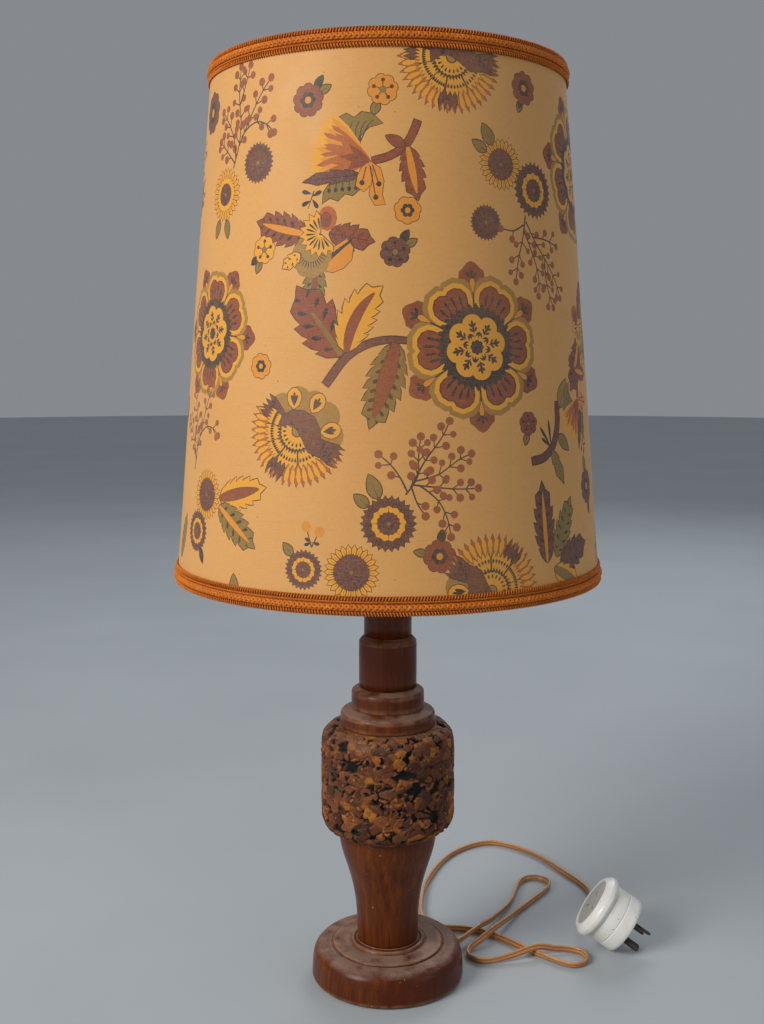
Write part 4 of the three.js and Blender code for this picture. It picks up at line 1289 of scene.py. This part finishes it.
def tulip(s):
    """A feathery flower lying on its side, opening to the left, with sepals and a leafy under-side."""
    rng = np.random.default_rng(3)
    s.outlined(stroke([(4, -2), (18, 1), (30, 8), (38, 20), (41, 27)], 5.4, 5.8), "brick")
    simple_leaf(s, 30, 8, 150, 17, 8, "brick", vein=False)
    leaf(s, 32, 7, -82, 42, 26, "brick", teeth=4, rib="amber", rib_width=0.22)
    top = [(-22, 14), (-26, 24), (-22, 33), (-14, 36), (-8, 32), (-2, 36), (6, 34), (14, 26), (3, 24),
           (-4, 18), (-5, 8)]
    s.outlined(top, "olive")
    for k in range(5):
        s.put(stroke([(-12 + 2 * k, 10 + k), (-17 + 5 * k, 22 + k), (-15 + 5.5 * k, 29)], 0.9, 0.5), "ink")
    for k in range(15):
        a = math.radians(128 + k * 5.2)
        length = 46 + 5 * rng.random()
        s.put(drop(2, 0, a, length, 9), "ochre")
    for k in range(13):
        a = math.radians(130 + k * 5.8)
        s.put(drop(2, 1, a, 38 + 6 * rng.random(), 5), "rust" if k % 2 else "amber")
    body = [(4, -3), (-4, 9), (-14, 18), (-24, 22), (-18, 12), (-34, 12), (-22, 5), (-36, 2), (-22, -3),
            (-28, -10), (-12, -9)]
    s.put(body, "rust")
    s.put([(3, -2), (-5, 7), (-14, 13), (-10, 5), (-22, 4), (-12, -1), (-16, -7), (-6, -6)], "brick")
    under = [(-2, -12), (-6, -22), (-13, -27), (-19, -25), (-25, -30), (-31, -27), (-38, -31), (-36, -22),
             (-30, -15), (-16, -10)]
    s.outlined(under, "olive")
    for k in range(5):
        s.put(stroke([(-9 - 5 * k, -12), (-10 - 5.4 * k, -20)], 0.8, 0.6), "ink")
        s.put(blob(-10 - 5.4 * k, -21.5, 1.6, 1.9, count=8), "ink")
    leaf(s, -6, -12, 176, 48, 14, "plum", teeth=3, bend=8, veins="ink", dashes=6)
    sepals = ([(2, -2), (10, -8), (12, -18), (10, -28), (12, -36), (4, -36), (0, -28), (2, -18), (-3, -8)],
              [(0, -3), (4, -10), (2, -20), (-4, -25), (-10, -20), (-8, -12), (-5, -7)])
    for p in sepals:
        s.outlined(p, "amber", "ink", 0.5)
    for x0, y0, x1, y1 in ((2, -6, 5, -30), (-1, -6, -5, -18), (4, -5, 8, -20)):
        s.put(stroke([(x0, y0), (x1, y1)], 0.9, 0.7), "ink")
        s.put(blob(x1, y1, 2.1, count=9), "ink")
    s.put(stroke([(-44, -20), (-50, -33)], 1.0, 0.6), "ink")
    for x, y, angle in ((-46, -22, 160), (-46, -24, 20), (-47, -27, 200), (-46, -26, -60)):
        s.put(drop(x, y, math.radians(angle), 9, 3.6), "ink")


def cluster(s):
    """Leaves and shells round a small burst of ochre."""
    leaf(s, -8, 2, 170, 48, 33, "brick", teeth=5, bend=-10, rib="amber", rib_width=0.16, dash="line",
         dashes=6)
    leaf(s, 9, 2, -10, 34, 26, "brick", teeth=4, veins="line", dashes=5)
    leaf(s, 0, -22, -98, 32, 25, "olive", teeth=4, dash="line", dashes=4, rib="brick", rib_width=0.14)
    shell = [(6, -14), (12, -8), (22, -2), (27, -8), (26, -17), (20, -23), (12, -26), (4, -24), (0, -19)]
    s.outlined(shell, "amber", "ink", 0.5)
    for k in range(7):
        s.put(drop(6 + 2.2 * k, -22 + 2.2 * k, math.radians(68 - 4 * k), 10, 1.8), "ink")
    s.put(lobed(16, 9, 0.08) + (-5, -14), "khaki")
    for k in range(15):
        a = math.radians(190 + k * 11.5)
        s.put(stroke([way(a, 8, -5, -10), way(a, 13, -5, -10)], 0.9, 0.5), "ink")
    s.put(blob(7, 13, 7.5, 9), "rust")
    s.put(blob(6, 12, 4.5, 6), "brick")
    jagged_fan(s, 2, 2, 17, 92, 318, 11, 1, "ochre", tips=0.76)
    for k in range(11):
        a = math.radians(100 + k * 20.5)
        s.put(drop(*way(a, 3, 2, 2), a, 9, 1.6), "ink")
    leaf(s, -14, -12, 214, 18, 14, "ochre", teeth=3, dash="ink", dashes=3)


def leafy_stem(s):
    """The stem beside the large rosette, with its three large leaves."""
    s.outlined(stroke([(0, 1), (-16, 2.2), (-30, -0.5), (-43, -8), (-57, -25)], 3.4, 5.0), "plum")
    leaf(s, -46, -7, 128, 54, 42, "brick", teeth=4, bend=-8, dash="ink", dashes=5)
    for k in (-1.3, 0, 1.3):
        s.put(turned(bent(stroke([(1, k), (34, k * 0.6)], 1.1, 0.6), 54, -8), math.radians(128)) + (-46, -7),
              "olive")
    leaf(s, -43, -5, 86, 48, 32, "ochre", teeth=6, bend=-52, rib="brick", rib_width=0.2)
    leaf(s, -12, 0, -104, 56, 33, "olive", teeth=6, bend=-8, rib="brick", rib_width=0.3, dash="line",
         dashes=8)


def buds(s):
    for x, y in ((-4, 13), (5, 10)):
        s.put(stroke([(0, 0), (x, y)], 0.9, 0.7), "ink")
        s.put(lobed(3.6, 6, 0.12) + (x, y), "amber")
    for angle in (200, -10, 150):
        s.put(drop(0, 3, math.radians(angle), 5.5, 2.4), "ink")


def hooked_branch(s):
    s.outlined(stroke([(-20, -10), (-8, -8), (2, -1), (8, 12), (9, 28)], 5.0, 4.6), "plum")
    leaf(s, 1, -4, -62, 26, 12, "olive", teeth=2)
    simple_leaf(s, 9, 6, -40, 17, 8, "olive", vein=False)
    for angle, length in ((128, 18), (96, 19), (146, 12)):
        s.put(drop(0, -2, math.radians(angle), length, 2.4), "line")
    simple_leaf(s, 12, 24, 60, 22, 12, "khaki")


SPRIG_UP = [
    [(0, 0), (7, 13), (10, 28), (9, 46), (12, 64)], [(7, 13), (18, 26), (30, 40), (40, 49)], [(10, 18),
    (22, 24), (32, 22), (40, 14)], [(3, 5), (2, 18), (-5, 32), (-12, 41)], [(2, 3), (-6, 12), (-16, 22)],
    [(10, 40), (17, 52), (22, 62)],
]
SPRIG_WIDE = [
    [(0, 0), (8, 11), (9, 24), (11, 36)], [(3, 4), (14, 22), (24, 34), (30, 45)], [(5, 8), (22, 12),
    (34, 20), (44, 24)], [(1, 2), (-6, 16), (-16, 26)], [(4, 6), (18, 4), (34, 2), (48, 2)], [(8, 6),
    (20, -4), (26, -16), (28, -28)], [(4, 4), (8, -8), (12, -14)],
]
SPRIG_DOWN = [
    [(0, 0), (-4, -14), (-10, -28), (-14, -42)], [(0, -4), (8, -18), (18, -30), (28, -44), (32, -54)],
    [(6, -14), (20, -16), (32, -20)], [(-3, -9), (4, -26), (8, -40), (6, -52)], [(-2, -6), (-14, -10),
    (-22, -8)], [(16, -28), (16, -44), (22, -60)],
]


def draw_front():
    """The motifs that face the room, each as (angle in degrees from the front, height, turn, size)."""
    sprig(Stamp(-50, 604, 8), SPRIG_UP)
    sunflower(Stamp(-53.5, 588, 0, 0.98), 17.5, core=0.42)
    for angle in (-110, -78):
        simple_leaf(Stamp(-53.5, 588), *way(math.radians(angle), 17), angle, 13, 6, "olive")
    daisy(Stamp(-39, 605), 13.5, ring=None)
    blossom(Stamp(-67.5, 646), 14, "plum", 9, leaves=())
    blossom(Stamp(-22.6, 640.5), 10.4, "brick", 9, leaves=((28, 8.5, 5), (56, 8.5, 4.5)))
    blossom(Stamp(-1.3, 645), 9.4, "amber", 8, leaves=((-112, 9, 5.5),), dots=True)
    tulip(Stamp(-5.5, 603, 4, 0.80))
    blossom(Stamp(5.3, 571.5), 8.4, "amber", 7, leaves=())
    blossom(Stamp(2.0, 546), 9.2, "plum", 8, leaves=((30, 8, 4.5), (58, 8, 4.5)), dots=True)
    cluster(Stamp(-18.6, 556, 0, 0.86))
    blossom(Stamp(-35.2, 549.5), 8.8, "ochre", 8, leaves=((-112, 8.5, 5), (-140, 6.5, 4)), dots=True)
    rosette(Stamp(-56.5, 497, 0, 0.90), phase=26)
    blossom(Stamp(-34.6, 475.5), 8.2, "amber", 8, leaves=())
    leafy_stem(Stamp(7.0, 490))
    rosette(Stamp(23.4, 487.5), phase=3)
    carnation(Stamp(-23.4, 431, -18, 0.96))
    daisy(Stamp(0.3, 378), 18.2, leaves=((112, 17, 9), (140, 12, 7)))
    sprig(Stamp(4.4, 396, 2), SPRIG_WIDE)
    blossom(Stamp(38.6, 438.6), 7.6, "brick", 7, leaves=((-104, 8, 4.6),), dots=True)
    daisy(Stamp(-20.2, 347.5), 13.2, leaves=((132, 10, 6),))
    buds(Stamp(-18.2, 362))
    sunflower(Stamp(-8.4, 347), 17.6)
    blossom(Stamp(12.4, 357), 10.4, "brick", 8, leaves=((168, 8, 4.6), (84, 8, 4.6)))
    carnation(Stamp(26.0, 337, 158, 0.98))
    leaf(Stamp(43.2, 347), 0, 0, 92, 54, 27, "plum", teeth=5, rib="amber", rib_width=0.14, dash="line",
         dashes=6)
    leaf(Stamp(44.5, 350), 6, 0, 60, 44, 25, "olive", teeth=5, dash="line", dashes=6)
    leaf(Stamp(45.5, 346), 8, 0, 14, 40, 28, "plum", teeth=4, dash="line", dashes=5)
    leaf(Stamp(43.5, 342), 6, 0, -24, 34, 22, "ochre", teeth=3, rib="olive", rib_width=0.3)
    carnation(Stamp(18.4, 662, 8, 0.93))
    blossom(Stamp(42.8, 652.6), 10.6, "brick", 9, leaves=((-112, 8, 5), (-112, 5, 3)))
    sunflower(Stamp(32.8, 602.5), 16.0, core=0.62)
    for angle, length, width in ((118, 15, 8), (146, 12, 6.5)):
        a = math.radians(angle)
        simple_leaf(Stamp(32.8, 602.5), *way(a, 13), angle, length, width, "olive")
    daisy(Stamp(45.0, 588.5), 18.6)
    daisy(Stamp(27.3, 565.5), 11.6, ring=None)
    sprig(Stamp(41.0, 572, 4), SPRIG_DOWN, berry=2.2)
    rosette(Stamp(73.5, 606), phase=20)
    sunflower(Stamp(-54.2, 389), 17.0)
    leaf(Stamp(-47.6, 388), 0, 0, 14, 44, 29, "ochre", teeth=6, rib="brick", rib_width=0.26)
    leaf(Stamp(-47.6, 383), 0, 0, -34, 44, 28, "olive", teeth=5, rib="amber", rib_width=0.16, dash="line",
         dashes=5)
    daisy(Stamp(-58.5, 363), 15.0)
    simple_leaf(Stamp(-56, 352), 0, 0, -64, 11, 5, "ink", vein=False)
    sprig(Stamp(-63, 404, 18), SPRIG_UP[:4], berry=2.2)
    simple_leaf(Stamp(-40.2, 326), 0, 0, 96, 14, 8, "olive")
    hooked_branch(Stamp(47.0, 424))
    blossom(Stamp(67, 392), 12, "plum", 9, leaves=((100, 12, 6), (-80, 10, 4)))
    cluster(Stamp(70, 500, 70, 0.9))
    tulip(Stamp(63.0, 452, 75, 0.62))
    blossom(Stamp(77, 345), 11, "amber", 8, leaves=((60, 9, 5),), dots=True)
    leaf(Stamp(-72, 340), 0, 0, 70, 34, 16, "olive", teeth=5, dash="line", dashes=5)
    daisy(Stamp(84, 560), 12, ring=None)
    blossom(Stamp(-80, 590), 10, "brick", 9)


def draw_back():
    """The rest of the cloth, where the photo doesn't show it: the same motifs, freely placed."""
    rosette(Stamp(98, 470), phase=12)
    rosette(Stamp(-104, 560), phase=40)
    rosette(Stamp(166, 566), phase=16)
    rosette(Stamp(-150, 388), phase=30)
    leafy_stem(Stamp(147, 568, 6))
    leafy_stem(Stamp(-172, 396, -6))
    carnation(Stamp(120, 402, -18, 0.86))
    carnation(Stamp(-118, 470, 24, 0.86))
    carnation(Stamp(-162, 652, 8, 0.86))
    carnation(Stamp(98, 660, 168, 0.86))
    tulip(Stamp(-128, 640, 6, 0.80))
    tulip(Stamp(158, 452, 10, 0.80))
    tulip(Stamp(112, 590, -12, 0.80))
    cluster(Stamp(132, 640, 4, 0.86))
    cluster(Stamp(-98, 408, -8, 0.86))
    cluster(Stamp(-142, 470, 30, 0.86))
    sprig(Stamp(124, 346, 6), SPRIG_WIDE)
    sprig(Stamp(-156, 500, 4), SPRIG_UP)
    sprig(Stamp(-88, 640, 2), SPRIG_DOWN, berry=2.2)
    sprig(Stamp(88, 528, 12), SPRIG_UP[:4])
    sprig(Stamp(-118, 352, 40), SPRIG_WIDE)
    for theta, z, size in ((100, 356, 17), (-178, 470, 16), (-130, 520, 15), (146, 360, 17),
                           (-90, 480, 16), (176, 660, 15)):
        sunflower(Stamp(theta, z), size)
    for theta, z, size in ((110, 380, 14), (-171, 344, 16), (-122, 590, 15), (136, 516, 16),
                           (-84, 352, 14), (118, 668, 13)):
        daisy(Stamp(theta, z), size, leaves=((70, 13, 7), (110, 12, 6)))
    small = (("brick", 92, 594), ("amber", 124, 544), ("plum", 148, 606), ("amber", -165, 430),
             ("brick", 176, 512), ("plum", -138, 560), ("amber", -104, 520), ("brick", -112, 620),
             ("amber", -146, 340), ("plum", 164, 400), ("amber", 132, 440), ("brick", -80, 445),
             ("plum", -98, 664), ("amber", -178, 620), ("brick", -128, 400))
    for k, (fill, theta, z) in enumerate(small):
        blossom(Stamp(theta, z, 40 * k), 8.5 + k % 3, fill, 7 + k % 3, dots=k % 2 == 0)


def closed(loop):
    loop = list(loop)
    return list(zip(loop, loop[1:] + loop[:1]))


def topmost(places, shapes):
    """For each place the last of the shapes that covers it, or -1."""
    order = np.argsort(places[:, 0])
    x, y = places[order].T
    top = np.full(len(places), -1)
    for k, (shape, _) in enumerate(shapes):
        low, high = shape.min(axis=0), shape.max(axis=0)
        first, last = np.searchsorted(x, (low[0], high[0]))
        near = first + np.flatnonzero((y[first:last] > low[1]) & (y[first:last] < high[1]))
        px, py = x[near, None], y[near, None]
        (ax, ay), (bx, by) = shape.T, np.roll(shape, -1, 0).T
        left = (bx - ax) * (py - ay) - (px - ax) * (by - ay)
        winding = ((ay <= py) & (by > py) & (left > 0)).sum(1) - ((ay > py) & (by <= py) & (left < 0)).sum(1)
        inside = near[winding != 0]
        if k == 0:
            top[order[inside]] = 0
        else:
            inside = inside[top[order[inside]] >= 0]
            top[order[inside]] = k
    return top


def inked(places, edges, shapes, drawn=False):
    """A mesh of the flat cloth through the places and edges, with the top-most shape over every triangle."""
    places = [Vector(p) for p in places.tolist()]
    edges = list(edges)
    for shape, _ in shapes[1:] if drawn else ():
        edges += closed(range(len(places), len(places) + len(shape)))
        places += [Vector(p) for p in shape.tolist()]
    found = delaunay_2d_cdt(places, edges, [], 0, 1e-4, False)
    flat = np.array([(p.x, p.y) for p in found[0]])
    corners = np.array(found[2])
    return flat, corners, topmost(flat[corners].mean(axis=1), shapes)


SKIN_COLUMNS = 166
SKIN_ROWS = 38
SKIN_LOW = SHADE_Z0 + 0.6
SKIN_HIGH = SHADE_Z1 - 0.6
LAP_RADIUS = 141
LAP_DEGREES = math.degrees(LAP / LAP_RADIUS)
CLEAR_OF_EDGE = 3
SEAM_START = 176.5
SEAM_RAMP = 3.5
SWAY = 0.42
SWAY_FREE = 40


def skin_net():
    """Places all over the flat cloth, the numbers of those along its edge in order, and of those inside."""
    columns = np.linspace(-180, 180 + LAP_DEGREES, SKIN_COLUMNS)
    rows = np.linspace(SKIN_LOW, SKIN_HIGH, SKIN_ROWS)
    net = np.array([cut_place(theta, z) for z in rows for theta in columns])
    grid = np.arange(len(net)).reshape(SKIN_ROWS, SKIN_COLUMNS)
    rim = np.concatenate([grid[0], grid[1:, -1], grid[-1, -2::-1], grid[-2:0:-1, 0]])
    return net, rim, grid[1:-1, 1:-1].ravel()


def shapes_on_cloth(edge):
    """The ground, and over it every printed shape, kept clear of the cloth's edge."""
    shapes = [(edge, "ground")]
    for shape, ink in printed:
        theta, z = wrapped(shape)
        theta = np.degrees(theta).clip(-179.6, 179.6 + LAP_DEGREES)
        z = z.clip(SKIN_LOW + CLEAR_OF_EDGE, SKIN_HIGH - CLEAR_OF_EDGE)
        if np.ptp(z) > 0.2 and np.ptp(theta) > 0.1:
            shapes.append((np.array([cut_place(*place) for place in zip(theta, z)]), ink))
    return shapes


def colour_borders(corners, top, shapes):
    """The edges of a mesh that lie between two colours."""
    sides = {}
    for (a, b, c), shape in zip(corners.tolist(), top.tolist()):
        ink = shapes[shape][1] if shape >= 0 else None
        for side in ((a, b), (b, c), (c, a)):
            sides.setdefault((min(side), max(side)), []).append(ink)
    return np.array([side for side, inks in sides.items() if len(inks) == 2 and inks[0] != inks[1]])


def nearest(places, wanted):
    """The number of the place that is nearest to each wanted one."""
    tree = KDTree(len(places))
    for k, (x, y) in enumerate(places.tolist()):
        tree.insert((x, y, 0), k)
    tree.balance()
    return [tree.find((x, y, 0))[1] for x, y in wanted.tolist()]


def on_shade(flat, depth=0.0):
    """Points of the flat cloth on the lamp, at a depth under its face, and the way out at each of them.

    It laps over itself at the seam and sways a little. Its front is -Y, and angles run to the right."""
    theta, z = wrapped(flat)
    lift = (SKIN + 0.05) * np.clip((np.degrees(theta) - SEAM_START) / SEAM_RAMP, 0, 1)
    sway = np.array([noise.noise(Vector((*way(t, 1.7), h / 95))) for t, h in zip(theta, z)])
    hold = np.clip(np.minimum(z - SKIN_LOW, SKIN_HIGH - z) / SWAY_FREE, 0, 1)
    radius = shade_radius(z) + lift + SWAY * sway * hold - depth
    tilt = math.atan(-SLOPE)
    points = np.stack([radius * np.sin(theta), -radius * np.cos(theta), z], 1)
    level = math.cos(tilt)
    return points, np.stack([level * np.sin(theta), -level * np.cos(theta),
                             np.full(len(theta), math.sin(tilt))], 1)


def paint_skin(mesh, inks, flat):
    """The print's colour on every corner, the backing's material, and the cloth's flat places as UVs."""
    kinds = np.ones(len(mesh.polygons), np.int32)
    kinds[:len(inks)] = 0
    mesh.polygons.foreach_set("material_index", kinds)
    colours = np.tile(INKS["ground"], (len(mesh.loops), 1))
    colours[:3 * len(inks)] = np.repeat([INKS[ink] for ink in inks], 3, axis=0)
    set_colours(mesh, "print", colours, "CORNER")
    cloth = mesh.uv_layers.new(name="cloth")
    corners = np.zeros(len(mesh.loops), np.int32)
    mesh.loops.foreach_get("vertex_index", corners)
    cloth.data.foreach_set("uv", (flat * MM + (1.0, 2.0))[corners].astype(np.float32).ravel())


def make_skin():
    """The printed cloth on its stiff backing, one strip with a lapped seam at the back.

    The outlines of the print are cut into the mesh."""
    draw_front()
    draw_back()
    net, rim, inside = skin_net()
    edge = net[rim]
    shapes = shapes_on_cloth(edge)
    # The first mesh holds every outline. The second keeps only those between two colours.
    flat, corners, top = inked(edge, closed(range(len(edge))), shapes, drawn=True)
    used, borders = np.unique(colour_borders(corners, top, shapes), return_inverse=True)
    flat, corners, top = inked(np.vstack([flat[used], net]), borders.reshape(-1, 2).tolist(), shapes)
    inks = [shapes[k][1] for k in top[top >= 0].tolist()]
    used, front = np.unique(corners[top >= 0], return_inverse=True)
    flat = flat[used]
    loop = nearest(flat, edge)
    # The lining has its own coarse net inside the same edge.
    bare = np.vstack([flat[loop], net[inside]])
    lining_flat, lining, covered = inked(bare, closed(range(len(loop))), [(flat[loop], "ground")])
    lining = lining[covered == 0][:, ::-1] + len(flat)
    ring = [len(flat) + k for k in nearest(lining_flat, flat[loop])]
    hem = [[b, a, c, d] for (a, b), (c, d) in zip(closed(loop), closed(ring))]
    outer, out = on_shade(flat)
    backing, back_out = on_shade(lining_flat, SKIN)
    faces = front.reshape(-1, 3).tolist() + lining.tolist() + hem
    skin = new_piece("shade_skin_fine", np.vstack([outer, backing]), faces, ("shade_fabric", "lining"),
                     "shade", "shade_skin")
    paint_skin(skin.data, inks, np.vstack([flat, lining_flat]))
    skin.data.normals_split_custom_set_from_vertices(np.vstack([out, -back_out]).tolist())
    return skin, area_of_cut()


def area_of_cut():
    """The flat cut's bounding width and length, and its own area, in metres."""
    far, near = SHADE_R0 / SIN_CONE, SHADE_R1 / SIN_CONE
    spread = math.radians(360 + LAP_DEGREES) * SIN_CONE
    width = 2 * far * math.sin(spread / 2)
    length = far - near * math.cos(spread / 2)
    return width * MM, length * MM, spread * (far ** 2 - near ** 2) / 2 * MM ** 2


# ---------------------------------------------------------------- shade: braid and wires
def tube_rings(centres, radius, sides, out):
    """Rings round a closed line of points."""
    ahead = np.roll(centres, -1, 0) - np.roll(centres, 1, 0)
    ahead /= np.linalg.norm(ahead, axis=1)[:, None]
    side = np.cross(ahead, out)
    side /= np.linalg.norm(side, axis=1)[:, None]
    lift = np.cross(side, ahead)
    a = np.arange(sides) * TURN / sides
    return (centres[:,
                    None] + radius * (np.cos(a)[None, :, None] * side[:, None] + np.sin(a)[None, :,
                            None] * lift[:, None])).reshape(-1, 3)


def make_braid(name, node, z_out, direction):
    """Gimp: looped edges, a three-strand plait, a groove and a twisted cord. z_out is its outer edge."""
    points, faces, total = [], [], 0
    around = TURN * shade_radius(z_out)

    def strand(count, per_turn, radius, sides, path):
        nonlocal total
        n = count * per_turn
        phase = np.arange(n) * TURN / per_turn
        theta = phase / count
        across, proud = path(phase)
        z = z_out + direction * across
        r = shade_radius(z) + proud
        centres = np.stack([r * np.sin(theta), -r * np.cos(theta), z], 1)
        out = np.stack([np.sin(theta), -np.cos(theta), 0 * theta], 1)
        points.append(tube_rings(centres, radius, sides, out))
        faces.append(grid_faces(n, sides, wrap_rows=True) + total)
        total += n * sides

    loops = round(around / 2.0)
    for middle, sign in ((1.75, 1), (11.45, -1)):
        strand(loops, 7, 0.46, 5, lambda p: (middle + 1.32 * np.cos(p), 0.95 + 0.5 * sign * np.sin(p)))
    plaits = round(around / 10.4)
    for k in range(3):
        shift = k * TURN / 3
        strand(plaits, 16, 1.02, 6,
               lambda p: (5.6 + 1.5 * np.sin(p + shift), 1.25 + 0.6 * np.cos(2 * (p + shift))))
    twists = round(around / 3.4)
    for shift in (0, math.pi):
        strand(twists, 7, 0.42, 5, lambda p: (9.15 + 0.4 * np.cos(p + shift), 0.9 + 0.4 * np.sin(p + shift)))
    turns = 240
    theta = np.arange(turns) * TURN / turns
    band = [(0.5, 0.12), (12.7, 0.12), (12.7, 0.55), (0.5, 0.55)]
    rows = []
    for across, proud in band:
        z = z_out + direction * across
        r = shade_radius(z) + proud
        rows.append(np.stack([r * np.sin(theta), -r * np.cos(theta), np.full(turns, z)], 1))
    points.append(np.vstack(rows))
    faces.append(grid_faces(4, turns, wrap_rows=True) + total)
    points = np.vstack(points)
    piece = new_piece(name, points, np.vstack(faces), "braid", "shade", node, recalc=True)
    # The less a point stands off the shade's cloth, the more painted shade it gets.
    proud = np.hypot(points[:, 0], points[:, 1]) - shade_radius(points[:, 2])
    set_values(piece.data, "groove_shade", np.clip(1.15 - proud / 0.95, 0, 1))
    return piece


WIRE = 1.6


def make_frame():
    for name, z in (("shade_wire_bottom", SHADE_Z0 + 4), ("shade_wire_top", SHADE_Z1 - 4)):
        r = shade_radius(z) - 1 - WIRE - 0.3
        theta = np.arange(180) * TURN / 180
        centres = np.stack([r * np.cos(theta), r * np.sin(theta), np.full(180, z)], 1)
        points = tube_rings(centres, WIRE, 12, np.stack([np.cos(theta), np.sin(theta), 0 * theta], 1))
        new_piece(name + "_fine", points, grid_faces(180, 12, wrap_rows=True), "frame_wire", "shade", name,
                  recalc=True)
    for node in ("fitter_ring", "fitter_arm_1", "fitter_arm_2", "fitter_arm_3"):
        refined(node, "frame_wire", 0.3 if node == "fitter_ring" else 0, 50)


FLOOR_RADIUS = 9


def make_floor():
    mesh = bpy.data.meshes.new("floor")
    sides = 96
    rim = [(*way(TURN * k / sides, FLOOR_RADIUS), 0) for k in range(sides)]
    mesh.from_pydata(rim, [], [list(range(sides))])
    mesh.materials.append(floor_finish())
    linked("floor", mesh)


make_stand()
make_cork()
make_holder()
make_bulb()
skin, (cut_width, cut_length, cut_area) = make_skin()
braids = [make_braid("braid_bottom_fine", "braid_bottom", SHADE_Z0, 1),
          make_braid("braid_top_fine", "braid_top", SHADE_Z1, -1)]
make_frame()
make_floor()
